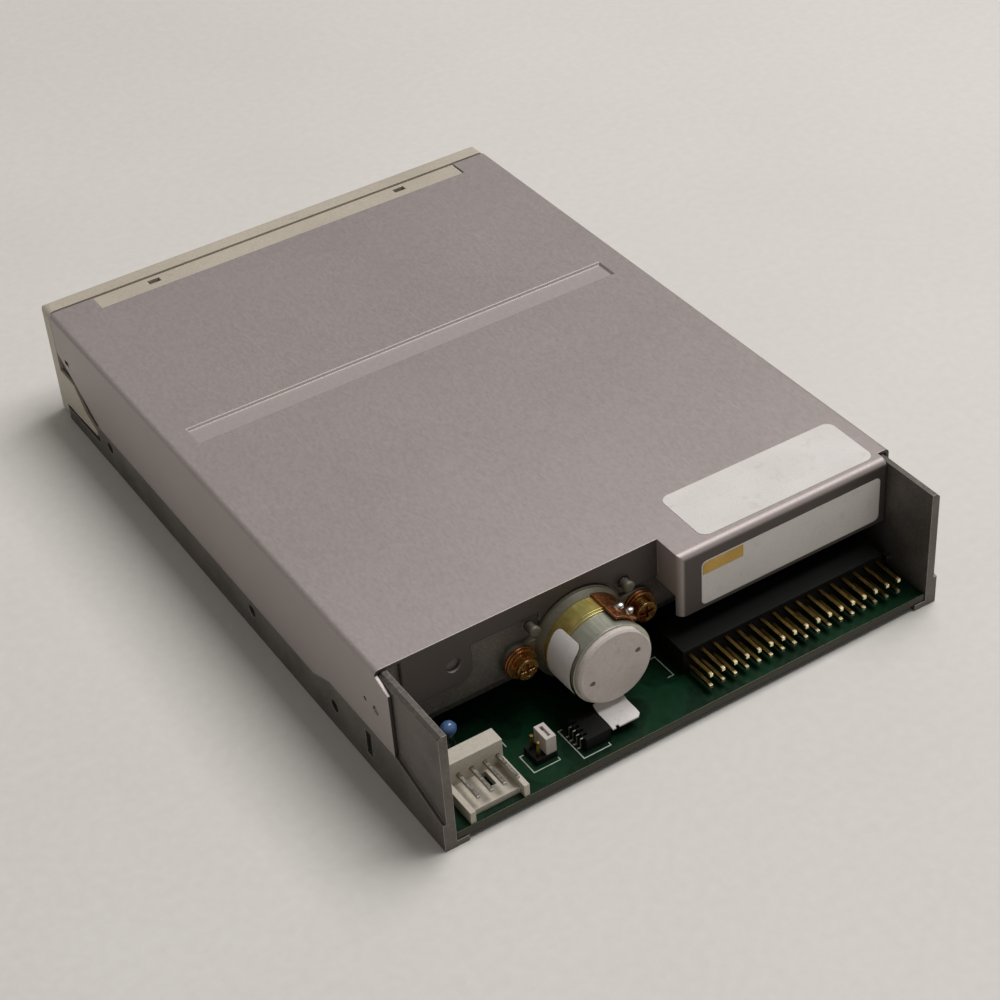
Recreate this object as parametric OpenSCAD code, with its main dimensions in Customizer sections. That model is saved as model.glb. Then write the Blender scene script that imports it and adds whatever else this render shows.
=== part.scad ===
// Internal 3.5 inch floppy disk drive, one inch high, as an assembly of its separate pieces.
// Millimetres, Z up. The bezel faces -Y and the connectors face +Y.
// Inside the modules y is measured from the back of the bezel, and place() moves it to the part's origin.

/* [Overall] */
// Width over the side walls
drive_w = 101.6; // [100.6:0.1:104]
// Height from the feet to the top of the cover
drive_h = 25.4; // [25.3:0.1:28]
// Depth of the frame behind the bezel
frame_d = 146; // [145:0.5:156]

/* [Frame casting] */
// Thickness of the upper side walls
wall_t = 1.6; // [1.4:0.1:1.8]
// Height of the deck's underside
deck_z = 7.4; // [7.3:0.05:7.5]
// Thickness of the deck
deck_t = 1.6; // [1.3:0.1:1.7]
// Thickness of the cross wall that carries the stepper motor
web_t = 2; // [1.8:0.1:2.4]
// Height of the cross wall's lower edge
web_z = 10.4; // [9.8:0.1:10.8]
// Room behind the cross wall
rear_bay = 18.8; // [17.8:0.1:19.4]
// Thickness of the bottom feet
foot_t = 1.2; // [1:0.1:1.4]
// Width of the bottom feet
foot_w = 4.6; // [3.6:0.1:5.4]
// Height of the step that the cover's side stands over
ledge_z = 7.5; // [7:0.1:7.8]
// Rise of that step near the back
ledge_rise = 2.4; // [2:0.1:2.8]
// Width of the upright slot in the side near the back
slit_w = 1.8; // [1.2:0.1:2.6]
// Radius of the frame's screw bosses
boss_r = 2.1; // [1.9:0.1:2.2]

/* [Mounting holes] */
// Radius of the mounting threads
thread_r = 1.25; // [1.1:0.05:1.4]
// Height of the side holes
side_hole_z = 5; // [5:0.1:5.4]
// First side hole behind the bezel
side_hole_y = 21; // [21:0.5:23]
// Distance from the first to the second side hole
side_pitch = 60; // [59:0.5:62]
// Distance from the second to the third side hole
side_pitch_rear = 30; // [29:0.5:33]
// Bottom holes in from the side
bottom_inset = 3.2; // [3:0.1:3.6]
// Depth of the bottom holes
bottom_depth = 3; // [2.4:0.1:3]

/* [Cover] */
// Thickness of the sheet steel
cover_t = 0.6; // [0.5:0.05:0.7]
// Radius of the long side bends
bend_r = 1; // [0.9:0.1:1.2]
// How far the connector side of the cover reaches past the motor side
cover_step = 6.5; // [5.5:0.1:7.5]
// Edge of the motor notch toward the signal header
notch_a = -4; // [-4.6:0.1:-3]
// Edge of the motor notch toward the power socket
notch_b = 19.7; // [19:0.1:20.6]
// Middle of the cross rib behind the bezel
rib_y = 54; // [50:0.5:60]
// Width of the cross rib
rib_w = 5.4; // [4.6:0.1:6]
// From the drive's side to the end of the cross rib
rib_end = 4.9; // [4.4:0.1:6]
// Depth of the cross rib
rib_depth = 0.5; // [0.3:0.05:0.6]
// Radius of the bends behind the connectors
hood_r = 1.4; // [1.2:0.1:1.6]
// How far the rear flange hangs below the top
hood_drop = 13.2; // [12.8:0.1:13.6]
// Radius of the hole in the rear tab
tab_hole_r = 1.4; // [1.1:0.1:1.8]

/* [Bezel] */
// Thickness of the bezel plate
bezel_t = 4.5; // [4.2:0.1:5.5]
// Radius of the plate's front edges
face_r = 1.4; // [1:0.1:2]
// Width of the disk slot
slot_w = 93; // [92.6:0.1:93.4]
// Height of the disk slot
slot_h = 5.2; // [5.1:0.05:5.3]
// Least wall beside the disk slot
slot_end = 4.3; // [4.2:0.1:5]
// Height of the slot's middle
slot_z = 16; // [15.9:0.05:16.1]
// Thickness of the dust door
door_t = 1; // [0.8:0.05:1]
// Width of the eject button
button_w = 12; // [11:0.1:13]
// Height of the eject button
button_h = 6; // [5.6:0.1:6.2]
// How far the button stands out when no disk is in
button_proud = 1.2; // [0.8:0.1:2]
// Width of the lamp window
lamp_w = 5; // [4:0.1:5.4]
// Height of the lamp window
lamp_h = 2.5; // [2:0.1:2.6]

/* [Disk mechanism] */
// Width of the disk cartridge
disk_w = 90; // [89.8:0.05:90.2]
// Thickness of the disk cartridge
disk_h = 3.3; // [3.2:0.05:3.4]
// Room round the cartridge's thickness
disk_gap = 1.1; // [1.05:0.05:1.2]
// Thickness of the holder's sheet
holder_t = 0.7; // [0.6:0.05:0.8]
// Thickness of the slide plate's sheet
slide_t = 0.7; // [0.6:0.05:0.8]
// Travel of the button and the slide plate
eject_travel = 6; // [5:0.1:6]
// Drop of the holder
load_drop = 2.4; // [2.2:0.05:2.5]
// Radius of the holder's rollers
roller_r = 1; // [0.9:0.05:1.1]
// Spindle axis behind the bezel
spindle_y = 45; // [44:0.5:46]
// Radius of the spindle hub
hub_r = 13.5; // [12.5:0.1:13.6]
// Radius of the spindle shaft
shaft_r = 2; // [1.8:0.05:2.1]
// Radius of the rotor pan
rotor_r = 26; // [24:0.5:26]
// Radius of the drive pin
drive_pin_r = 1.2; // [1:0.05:1.3]
// Stroke of the drive pin
drive_pin_travel = 0.8; // [0.6:0.05:0.8]

/* [Head positioner] */
// Track zero from the spindle axis
track_zero_r = 39.5; // [39:0.1:40]
// Travel of the heads
head_travel = 14.8; // [14.4:0.1:14.8]
// Gap from the back of the carriage to the cross wall at track zero
carriage_gap = 3.7; // [3.2:0.1:4.4]
// Lift of the upper arm in degrees
arm_lift = 8.5; // [8:0.1:8.6]
// Radius of the guide rods
rod_r = 1.5; // [1.3:0.05:1.6]
// Height of the guide rods
rod_z = 12.5; // [12.4:0.05:12.6]
// Radius of the lead screw over its thread
screw_r = 2; // [1.8:0.05:2.05]
// Lead of the screw
screw_lead = 3; // [2.8:0.1:3.2]
// Depth of the thread's groove
groove_t = 0.7; // [0.6:0.05:0.75]

/* [Stepper motor] */
// Motor axis from the middle of the drive
motor_x = 12.4; // [12.2:0.1:12.8]
// Height of the motor axis
motor_z = 13.6; // [13.5:0.05:14]
// Radius of the mounting flange
flange_r = 9; // [8.6:0.1:9.2]
// Thickness of the mounting flange
flange_t = 1; // [0.8:0.1:1.2]
// Distance between the two motor screws
motor_pitch = 24; // [23.4:0.1:24.6]
// Radius of the motor's front cup
cup_r = 7.9; // [7.6:0.1:8.2]
// Radius of the motor's rear cup
can_r = 7.5; // [7:0.1:7.6]
// Length of each cup
cup_d = 4.6; // [4.2:0.1:4.8]
// Thickness of the plastic end cap
end_cap_t = 1.2; // [1:0.1:1.6]
// Width of the copper tongue along the can
strap_w = 4; // [3.4:0.1:4.4]
// Length of the copper tongue along the can
strap_d = 7; // [6:0.1:8]

/* [Circuit boards and connectors] */
// Thickness of the boards
board_t = 1.6; // [1.5:0.05:1.65]
// Pitch of the signal pins
pin_pitch = 2.54; // [2.5:0.01:2.56]
// Columns of signal pins
pin_cols = 17; // [17:1:17]
// Width of a square signal pin
pin_w = 0.64; // [0.6:0.01:0.68]
// Gap between the side wall and the signal header
header_gap = 3.16; // [2.8:0.02:3.6]
// Gap between the side wall and the power socket
power_gap = 3; // [2.7:0.1:3.5]
// Pitch of the power pins
power_pitch = 2.5; // [2.4:0.05:2.54]
// Stroke of the three switch plungers
plunger_travel = 0.9; // [0.7:0.05:0.9]

/* [Clearances] */
// Gap between fixed pieces that fit together
fit = 0.1; // [0.06:0.01:0.12]
// Gap round pieces that slide or turn
run = 0.3; // [0.25:0.05:0.35]
// Gap round rods, shafts and pins in their bores
bore_gap = 0.04; // [0.03:0.01:0.05]

/* [Hidden] */
$fn = 48;
// Half widths of the frame, from the outside in
half_w = drive_w / 2;
wall_out = half_w - cover_t - fit;
wall_in = wall_out - wall_t;
// Levels of the frame
cover_in = drive_h - cover_t;
wall_top = cover_in - fit;
deck_top = deck_z + deck_t;
board_top = foot_t + board_t;
// Places along the depth
y_origin = (bezel_t + button_proud - frame_d) / 2;
head_y = spindle_y + track_zero_r;
block_front = head_y + 25;
block_back = block_front + 12;
web_front = block_back + carriage_gap;
web_back = web_front + web_t;
bay_back = web_back + rear_bay;
tab_y = web_back + fit;
tab_back = tab_y + cover_t;
cover_back = tab_back + cover_step;
cover_front = 0.3;
cover_side_back = tab_back + 4;
ledge_y = web_back - 23;
board_front = 92;
board_back = bay_back - 0.2;
slit_y = web_back - 4.5;
// Bezel
bezel_half = max(half_w, slot_w / 2 + slot_end);
tongue_a = -(half_w - 8.2);
tongue_b = half_w - 9.6;
tongue_d = 4.6;
tongue_drop = 0.3;
tongue_t = 1.6;
arm_d = 15;
arm_low = 3.8;
arm_high = 12;
// Door axis in the slot
door_y = -bezel_t + 2.4;
door_z = slot_z + slot_h / 2 - 0.6;
door_w = slot_w - 2 * run;
trunnion_r = 0.45;
spring_pocket = 3;
// Button and lamp
button_x = half_w - 11.8;
button_z = 8.2;
button_back = eject_travel + 1;
lamp_x = -(half_w - 13.8);
lamp_z = 7.2;
led_r = 1.5;
led_back = 8.4;
// Slide plate
slide_z = deck_top + 0.2;
slide_top = slide_z + slide_t;
slide_out = wall_in - run - 0.2;
slide_front = 9;
slide_back = spindle_y + 45;
rail_w = 8;
rail_in = slide_out - rail_w;
cross_y = 22;
cross_d = 6;
tab_a = button_x + 1.5;
tab_b = button_x + 5;
slide_wall_top = slide_z + 8;
// Disk holder
holder_gap = 0.7;
holder_out = slide_out - slide_t - holder_gap;
holder_in = holder_out - holder_t;
holder_low = slot_z - (disk_h + disk_gap) / 2 - holder_t;
holder_top = slot_z + (disk_h + disk_gap) / 2 + holder_t;
holder_front = 3.2;
holder_back = spindle_y + 46;
lip_grip = 3.4;
lip_in = disk_w / 2 - lip_grip;
window_w = 9;
window_y = spindle_y + 13;
roller_z = slot_z - 1;
roller_ys = [20, 80];
roller_end = wall_in + 0.75;
groove_d = 1;
stud_r = 0.6;
// Shutter lever on top of the holder
lever_x = -(holder_in - 5.9);
lever_y = spindle_y + 15;
lever_len = 28;
lever_rest = 10;
lever_swing = 65;
lever_w = 6;
lever_t = 0.8;
lever_z = holder_top + run;
lever_pin_r = 1;
rivet_r = 1.5;
rivet_top = cover_in - run;
rivet_head_t = 0.6;
// Disk posts and eject springs
post_x = rail_in - 6;
post_r = 1.6;
disk_rest = holder_low + holder_t - load_drop + 0.2;
spring_x = rail_in - 2.4;
spring_r = 0.85;
spring_wire = 0.18;
spring_turns = 10;
spring_z = deck_top + 1.45;
spring_front = spindle_y + 15;
spring_back = spindle_y + 37;
// Spindle
hub_z = deck_top + 1;
hub_t = 2;
pin_top = hub_z + hub_t + 1.6;
drive_r = 10.2;
bearing_r = 6;
bearing_low = deck_z - 2.4;
rotor_z = 1.4;
rotor_t = 0.8;
rotor_rim = 3.2;
magnet_t = 1.75;
stator_in = 7.5;
stator_out = rotor_r - 3.2;
stator_low = deck_z - 4.2;
coil_count = 12;
motor_board_x = 31;
motor_board_front = spindle_y - 24;
motor_board_back = spindle_y + 30;
motor_board_low = deck_z - board_t;
// Front sensor board
front_board_low = deck_z - board_t - board_t + 0.4;
front_board_t = board_t - 0.4;
front_board_top = front_board_low + front_board_t;
front_board_y0 = button_back + 1.6;
front_board_y1 = spindle_y - rotor_r - 1;
front_screw_x = wall_in - 28.5;
switch_y = 13;
switch_w = 6;
plunger_r = 0.95;
plunger_top = holder_low - 0.4;
switch_xs = [wall_in - 11.5, wall_in - 18.5, 11.5 - wall_in];
// Head carriage
block_low = deck_top + 0.6;
bridge_top = block_low + 1.6;
block_top = rod_z + 2.5;
rod_xs = [-13, 21];
rod_boss = 2.6;
rod_front = block_front - head_travel - run - 2.8;
head_w = 4;
head_face = slot_z - 2.65;
nose_w = 6;
hinge_y = head_y + 33.5;
hinge_r = 0.9;
ear_in = 6.3;
ear_out = 8;
arm_t = 1.6;
arm_clear = 0.231;
arm_reach = hinge_y - head_y + 3.5;
hinge_z = cover_in - rib_depth - arm_clear - arm_t - arm_reach * sin(arm_lift);
arm_w = 5.5;
needle_y = head_y + 31.5;
needle_r = 0.4;
barrel_r = 1.55;
flag_x = -3;
// Lead screw
thread_front = needle_y - head_travel - 3;
thread_back = needle_y + 4;
journal_r = 1.1;
journal_back = 0.8;
screw_steps = 10;
thread_points = 20;
// Stepper motor
flange_back = web_back + flange_t;
front_cup_back = flange_back + cup_d;
can_back = front_cup_back + cup_d + 0.4;
cap_back = can_back + end_cap_t;
cap_r = can_r - 0.2;
magnet_r = 5;
motor_screw_r = 1;
motor_screw_xs = [motor_x - motor_pitch / 2, motor_x + motor_pitch / 2];
// Screws
screw_shank = 1;
screw_head = 2;
screw_head_t = 1;
main_screw_x = wall_in - 6.5;
main_screws = [for (s = [-1, 1], y = [board_front + 6, web_back - 9]) [s * main_screw_x, y]];
motor_screws = [for (x = [-28, 28], y = [motor_board_front + 3, motor_board_back - 4]) [x, y]];
front_screws = [[-front_screw_x, switch_y], [front_screw_x, switch_y]];
// Connectors on the main board
header_back = bay_back - 8.4;
header_wall = 8.6;
pin_tip = bay_back - 2.2;
pin_low = board_top + 1.3;
pin_leg = board_top - board_t - 0.7;
header_x = header_gap + pin_cols * pin_pitch / 2 - wall_in;
power_w = 11.2;
power_x = wall_in - power_gap - power_w / 2;
power_front = bay_back - 11.4;
power_back = bay_back - 0.4;
power_pin_z = board_top + 3.2;
power_floor = 1.2;
power_off = 0.8;
power_pin_half = 0.3;
flex_x = motor_x + 0.9;
option_w = 4.8;
option_x = flex_x + 5.7;
option_y = bay_back - 6;
jumper_shift = 0.05;
jumper_x = (option_x + option_w / 2 + power_x - power_w / 2) / 2 + jumper_shift;
jumper_y = bay_back - 7;
jumper_base = 1.2;
jumper_pitch = 2;
jumper_pin = 0.5;
jumper_cap_h = 3.5;
flex_w = 5.8;
flex_t = 0.4;
sensor_y = head_y + 30;
chip_leg = 0.4;

// Moves a piece from the bezel's back to the part's own origin
module place() translate([0, y_origin, 0]) children();

// Box between two corners
module box(x0, x1, y0, y1, z0, z1) translate([x0, y0, z0]) cube([x1 - x0, y1 - y0, z1 - z0]);

// Round bars along each axis
module bar_x(x0, x1, y, z, r) translate([x0, y, z]) rotate([0, 90, 0]) cylinder(h = x1 - x0, r = r);
module bar_y(y0, y1, x, z, r) translate([x, y0, z]) rotate([-90, 0, 0]) cylinder(h = y1 - y0, r = r);
module bar_z(z0, z1, x, y, r) translate([x, y, z0]) cylinder(h = z1 - z0, r = r);

// Outline in y and z, made solid along x
module slab_x(x0, x1, outline)
    translate([x0, 0, 0]) rotate([90, 0, 90]) linear_extrude(x1 - x0) polygon(outline);

// Outline in x and z, made solid along y
module slab_y(y0, y1, outline)
    translate([0, y1, 0]) rotate([90, 0, 0]) linear_extrude(y1 - y0) polygon(outline);

// The same shape on both sides of the drive
module both_sides() {
    children();
    mirror([1, 0, 0]) children();
}

// One turn of wire after another along z, as a single closed tube
coil_rings = 8;
coil_sides = 6;
function coil_ring(i, r, wire, pitch) =
    let (a = i * 360 / coil_rings)
    [for (j = [0:coil_sides - 1])
        let (b = j * 360 / coil_sides, d = r + wire * cos(b))
        [d * cos(a), d * sin(a), pitch * i / coil_rings + wire * sin(b)]];
function coil_gap(r, wire, pitch) =
    min([for (j = [0:coil_sides - 1], k = [0:coil_sides - 1])
        norm(coil_ring(coil_rings, r, wire, pitch)[j] - coil_ring(0, r, wire, pitch)[k])]);
module coil(r, wire, pitch, turns) {
    rings = coil_rings * turns;
    last = rings * coil_sides;
    points = [for (i = [0:rings]) each coil_ring(i, r, wire, pitch)];
    walls = [for (i = [0:rings - 1], j = [0:coil_sides - 1])
        let (a = i * coil_sides + j, b = i * coil_sides + (j + 1) % coil_sides)
        each [[a, b, b + coil_sides], [a, b + coil_sides, a + coil_sides]]];
    start = [for (j = [1:coil_sides - 2]) [0, j + 1, j]];
    end = [for (j = [1:coil_sides - 2]) [last, last + j, last + j + 1]];
    echo("least gap between turns", coil_gap(r, wire, pitch));
    polyhedron(points, concat(start, walls, end));
}

// Cast frame, whose side walls are solids of their own that meet the deck face to face

// Side wall with the step for the cover, the roller grooves and the mounting holes
module side_wall() {
    holes = [side_hole_y, side_hole_y + side_pitch, side_hole_y + side_pitch + side_pitch_rear];
    bottoms = [side_hole_y, side_hole_y + side_pitch];
    rear_ledge = ledge_z + ledge_rise;
    step = [[-1, ledge_z], [ledge_y, ledge_z], [ledge_y + 6, rear_ledge], [cover_side_back + fit, rear_ledge],
        [frame_d + 1, ledge_z - 2], [frame_d + 1, drive_h], [-1, drive_h]];
    chamfer = 0.8;
    difference() {
        union() {
            box(wall_in, half_w, 0, frame_d, 0, wall_top);
            box(half_w - foot_w, half_w - 0.2, board_front - 2, frame_d, 0, foot_t);
            for (y = holes)
                bar_x(wall_in - 1.7, wall_in + 0.5, y, side_hole_z, boss_r);
            for (y = bottoms)
                bar_z(0, bottom_depth + 0.4, half_w - bottom_inset, y, boss_r + 0.4);
        }
        box(0, wall_in, -1, frame_d + 1, deck_z, drive_h);
        slab_x(wall_out, half_w + 1, step);
        slab_y(-1, frame_d + 1, [[wall_out - chamfer, wall_top + 0.1], [wall_out + 0.1, wall_top + 0.1],
            [wall_out + 0.1, wall_top - chamfer]]);
        box(wall_out, half_w + 1, -1, arm_d + 1, arm_low - 0.8, ledge_z + 1);
        for (y = roller_ys)
            box(wall_in - 1, wall_in + groove_d, y - roller_r - run, y + roller_r + run,
                roller_z - load_drop - roller_r - run, wall_top + 1);
        box(wall_in - 1, half_w + 1, slit_y - slit_w / 2, slit_y + slit_w / 2, board_top, ledge_z + 0.8);
        for (y = holes)
            bar_x(wall_in - 3, half_w + 1, y, side_hole_z, thread_r);
        for (y = bottoms)
            bar_z(-1, bottom_depth, half_w - bottom_inset, y, thread_r);
    }
}

// Deck between the walls, with its openings
module deck() {
    difference() {
        box(-wall_in, wall_in, 0, web_front + 0.2, deck_z, deck_top);
        box(button_x - button_w / 2 - run, button_x + button_w / 2 + run, -1, button_back + 0.6, 0, drive_h);
        box(lamp_x - 3.2, lamp_x + 3.2, -1, led_back + 1.8, 0, drive_h);
        bar_z(0, drive_h, 0, spindle_y, bearing_r + bore_gap);
        box(flag_x - 4, flag_x + 8, block_front - head_travel, block_back - 2, 0, drive_h);
        for (x = switch_xs)
            bar_z(0, drive_h, x, switch_y, plunger_r + run);
        for (p = motor_screws)
            bar_z(0, drive_h, p[0], p[1], screw_shank + bore_gap);
        for (p = front_screws)
            bar_z(0, drive_h, p[0], p[1], screw_shank + bore_gap);
        for (p = main_screws)
            bar_z(0, deck_z + 0.4, p[0], p[1], screw_shank + bore_gap);
    }
}

// Cross wall with the motor's seat
module cross_wall() {
    difference() {
        union() {
            box(-wall_in, wall_in, web_front, web_back, web_z, wall_top);
            both_sides() box(half_w - foot_w - 2, wall_in, web_front, web_back, deck_z, web_z + 0.1);
            for (s = [-1, 1])
                bar_y(web_back - 0.2, web_back + 2.2, motor_x + s * 9.4, motor_z + 6, 0.9);
        }
        bar_y(web_front - 1, web_back + 1, motor_x, motor_z, screw_r + 2 * run);
        for (x = motor_screw_xs)
            bar_y(web_front - 1, web_back + 1, x, motor_z, motor_screw_r + bore_gap);
        for (x = rod_xs)
            bar_y(web_front - 1, web_front + 1.2, x, rod_z, rod_r + bore_gap);
    }
}

// Boss on the deck that holds the front end of a rod
module rod_seat(x, z, r) {
    difference() {
        box(x - rod_boss, x + rod_boss, rod_front, rod_front + 2.8, deck_top - 0.1, z + rod_boss);
        bar_y(rod_front + 0.6, rod_front + 4, x, z, r + bore_gap);
    }
}

// Boss under the deck that a board is screwed to
module board_boss(p, low) {
    difference() {
        bar_z(low, deck_z + 0.1, p[0], p[1], boss_r);
        bar_z(low - 1, deck_z + 1, p[0], p[1], screw_shank + bore_gap);
    }
}

module frame() {
    color("#8f9091") union() {
        deck();
        cross_wall();
        for (x = rod_xs)
            rod_seat(x, rod_z, rod_r);
        rod_seat(motor_x, motor_z, journal_r);
        for (p = main_screws)
            board_boss(p, board_top);
        for (p = front_screws)
            board_boss(p, front_board_top);
        for (x = [-post_x, post_x], y = [spindle_y - 9, spindle_y + 29])
            bar_z(deck_top - 0.1, disk_rest, x, y, post_r);
        for (x = [-spring_x, spring_x])
            bar_z(deck_top - 0.1, spring_z + 0.9, x, spring_back + 1, 0.6);
    }
}

module side_walls() {
    color("#8f9091") both_sides() side_wall();
}

// Sheet-steel cover

// Side sheet of the cover, whose bend with the top ends at back
module cover_side(back) {
    low = ledge_z + fit;
    rear_low = low + ledge_rise;
    outline = [[cover_front, 16.5], [5.5, 14], [17, low], [ledge_y, low], [ledge_y + 6, rear_low],
        [cover_side_back, rear_low], [cover_side_back, drive_h - 2.4], [back, drive_h - bend_r],
        [cover_front, drive_h - bend_r]];
    difference() {
        slab_x(half_w - cover_t, half_w, outline);
        bar_x(half_w - 2, half_w + 1, web_back - 3.7, 16.4, 0.5);
        bar_x(half_w - 0.3, half_w + 1, web_back - 0.2, 16.4, 0.9);
        box(half_w - 2, half_w + 1, 4.2, 6, 15.8, 16.9);
    }
}

// Long bend between the top and a side
module cover_bend(back) {
    x = half_w - bend_r;
    z = drive_h - bend_r;
    intersection() {
        difference() {
            bar_y(cover_front, back, x, z, bend_r);
            bar_y(cover_front - 1, back + 1, x, z, bend_r - cover_t);
        }
        box(x, half_w + 1, cover_front - 1, back + 1, z, drive_h + 1);
    }
}

// Flat trough with sloped walls that is pressed into the top, lowered and grown by the sheet for its underside
module rib(grow) {
    lean = 0.8;
    top = drive_h - grow;
    rise = 1;
    out = lean * rise;
    inward = lean * rib_depth;
    front = rib_y - rib_w / 2 - grow / 2;
    back = rib_y + rib_w / 2 + grow / 2;
    right = rib_end + 0.6 - half_w - grow / 2;
    left = half_w - rib_end + grow / 2;
    intersection() {
        slab_x(right - out, left + out, [[front - out, top + rise], [front + inward, top - rib_depth],
            [back - inward, top - rib_depth], [back + out, top + rise]]);
        slab_y(front - out, back + out, [[right - out, top + rise], [right + inward, top - rib_depth],
            [left - inward, top - rib_depth], [left + out, top + rise]]);
    }
}

// Space under the hood behind the top, inset by the sheet for its inside
module hood_space(inset, past) {
    r = hood_r - inset;
    back = cover_back - inset;
    top = drive_h - inset;
    side = notch_a - inset;
    low = drive_h - hood_drop - past;
    right = -half_w - past;
    front = tab_y - past;
    intersection() {
        union() {
            box(right, side, front, back - r, low, top);
            box(right, side, front, back, low, top - r);
            bar_x(right, side, back - r, top - r, r);
        }
        union() {
            box(right, side - r, front, back, low, top);
            box(right, side, front, back - r, low, top);
            bar_z(low, top, side - r, back - r, r);
        }
    }
}

// Hood over the connectors: top, notch side and rear flange bent from one sheet
module hood() {
    flange_end = run - wall_in;
    difference() {
        hood_space(0, 0);
        hood_space(cover_t, 1);
        box(-half_w - 1, bend_r - half_w, tab_y - 1, cover_back + 1, 0, drive_h + 1);
        box(-half_w - 1, flange_end, tab_y - 1, cover_back + 1, 0, cover_in);
        box(-half_w - 1, flange_end, cover_side_back, cover_back + 1, 0, drive_h + 1);
        box(notch_a - hood_r, notch_a + 1, tab_y - 1, cover_back - hood_r, 0, drive_h - 8.9);
    }
}

// Flanges behind the top, from the tab to the motor notch
module cover_flanges() {
    tab_b = half_w - 4.8;
    tab_a = tab_b - 13;
    tab_low = drive_h - 10.9;
    tab_r = 2.6;
    lip_z = drive_h - 3.8;
    difference() {
        union() {
            box(tab_a + tab_r, tab_b, tab_y, tab_back, tab_low, cover_in + 0.1);
            box(tab_a, tab_b, tab_y, tab_back, tab_low + tab_r, cover_in + 0.1);
            bar_y(tab_y, tab_back, tab_a + tab_r, tab_low + tab_r, tab_r);
            box(notch_b - 0.1, tab_a + 0.1, tab_y, tab_back, lip_z, cover_in + 0.1);
            box(notch_a, notch_b, tab_y, tab_back, drive_h - 7.9, cover_in + 0.1);
        }
        bar_y(tab_y - 1, tab_back + 1, tab_a + 3.5, drive_h - 6.4, tab_hole_r);
        bar_y(tab_y - 1, tab_back + 1, motor_x, motor_z, flange_r + 0.5);
        for (s = [-1, 1])
            bar_y(tab_y - 1, tab_back + 1, motor_x + s * 9.4, motor_z + 6, 0.9 + run);
    }
}

module top_cover() {
    flat = half_w - bend_r + 0.01;
    flange_end = run - wall_in + 0.1;
    color("#b9b6ae") {
        difference() {
            union() {
                box(-flat, flat, cover_front, tab_back, cover_in, drive_h);
                box(-flat, flange_end, tab_back - 1, cover_side_back, cover_in, drive_h);
                intersection() {
                    rib(cover_t);
                    box(-half_w, half_w, rib_y - rib_w, rib_y + rib_w, cover_in - rib_w, cover_in + 0.1);
                }
            }
            rib(0);
            box(tongue_a - 0.2, tongue_b + 0.2, -1, tongue_d + 0.2, cover_in - 1, drive_h + 1);
            bar_y(web_back - fit, tab_back + 1, motor_x, motor_z, flange_r + 0.5);
        }
        cover_side(tab_back);
        cover_bend(tab_back);
        mirror([1, 0, 0]) {
            cover_side(cover_side_back);
            cover_bend(cover_side_back);
        }
        cover_flanges();
        hood();
    }
}

// Front

// Plate of the bezel: round corners seen from the front, and front edges rounded seen from the side and above
module bezel_plate() {
    edge = 1.5;
    w = bezel_half;
    intersection() {
        union() {
            box(-w + edge, w - edge, -bezel_t, 0, 0, drive_h);
            box(-w, w, -bezel_t, 0, edge, drive_h - edge);
            for (x = [edge - w, w - edge], z = [edge, drive_h - edge])
                bar_y(-bezel_t, 0, x, z, edge);
        }
        union() {
            box(-w - 1, w + 1, face_r - bezel_t, 1, -1, drive_h + 1);
            box(-w - 1, w + 1, -bezel_t, 1, face_r, drive_h - face_r);
            for (z = [face_r, drive_h - face_r])
                bar_x(-w - 1, w + 1, face_r - bezel_t, z, face_r);
        }
        union() {
            box(-w - 1, w + 1, face_r - bezel_t, 1, -1, drive_h + 1);
            box(face_r - w, w - face_r, -bezel_t, 1, -1, drive_h + 1);
            for (x = [face_r - w, w - face_r])
                bar_z(-1, drive_h + 1, x, face_r - bezel_t, face_r);
        }
    }
}

module front_bezel() {
    low = slot_z - slot_h / 2;
    high = slot_z + slot_h / 2;
    flare = [[-bezel_t - 0.1, low - 1], [-bezel_t + 1.2, low], [-bezel_t + 1.2, high],
        [-bezel_t - 0.1, high + 1]];
    arm = [[-0.5, arm_low], [-0.5, arm_high], [6.5, arm_high - 0.2], [10.5, 7.4], [arm_d, 5.6],
        [arm_d, arm_low + 0.6], [5, arm_low]];
    tongue_top = drive_h - tongue_drop;
    color("#cfc6ab") difference() {
        union() {
            bezel_plate();
            box(tongue_a, tongue_b, -0.5, tongue_d - 0.2, tongue_top - tongue_t, tongue_top);
            box(-3.8, -2.2, 0, tongue_d + 0.1, tongue_top - tongue_t, tongue_top);
            both_sides() slab_x(wall_out + fit, half_w, arm);
        }
        box(-slot_w / 2, slot_w / 2, -bezel_t - 1, 1, low, high);
        slab_x(-slot_w / 2 - 0.6, slot_w / 2 + 0.6, flare);
        bar_z(low - 2.6, high + 2.6, 0, -bezel_t - 13.5, 16);
        box(-bezel_half - 1, bezel_half + 1, -0.35, 0, tongue_top - 0.5, drive_h + 1);
        for (x = [-28.5, 28.5])
            box(x - 1.3, x + 1.3, 1, 2.4, tongue_top - 3, drive_h);
        box(button_x - button_w / 2 - run, button_x + button_w / 2 + run, -bezel_t - 1, 1,
            button_z - button_h / 2 - run, button_z + button_h / 2 + run);
        box(lamp_x - lamp_w / 2 - fit, lamp_x + lamp_w / 2 + fit, -bezel_t - 1, 1,
            lamp_z - lamp_h / 2 - fit, lamp_z + lamp_h / 2 + fit);
        bar_x(-slot_w / 2 - 1.2, -slot_w / 2 + 1, door_y, door_z, trunnion_r + bore_gap);
        bar_x(slot_w / 2 - 1, slot_w / 2 + spring_pocket + 0.8, door_y, door_z, trunnion_r + bore_gap);
        box(slot_w / 2 + 0.5, slot_w / 2 + spring_pocket, door_y - 1.3, 1, door_z - 1.4, door_z + 1.4);
    }
}

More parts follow.
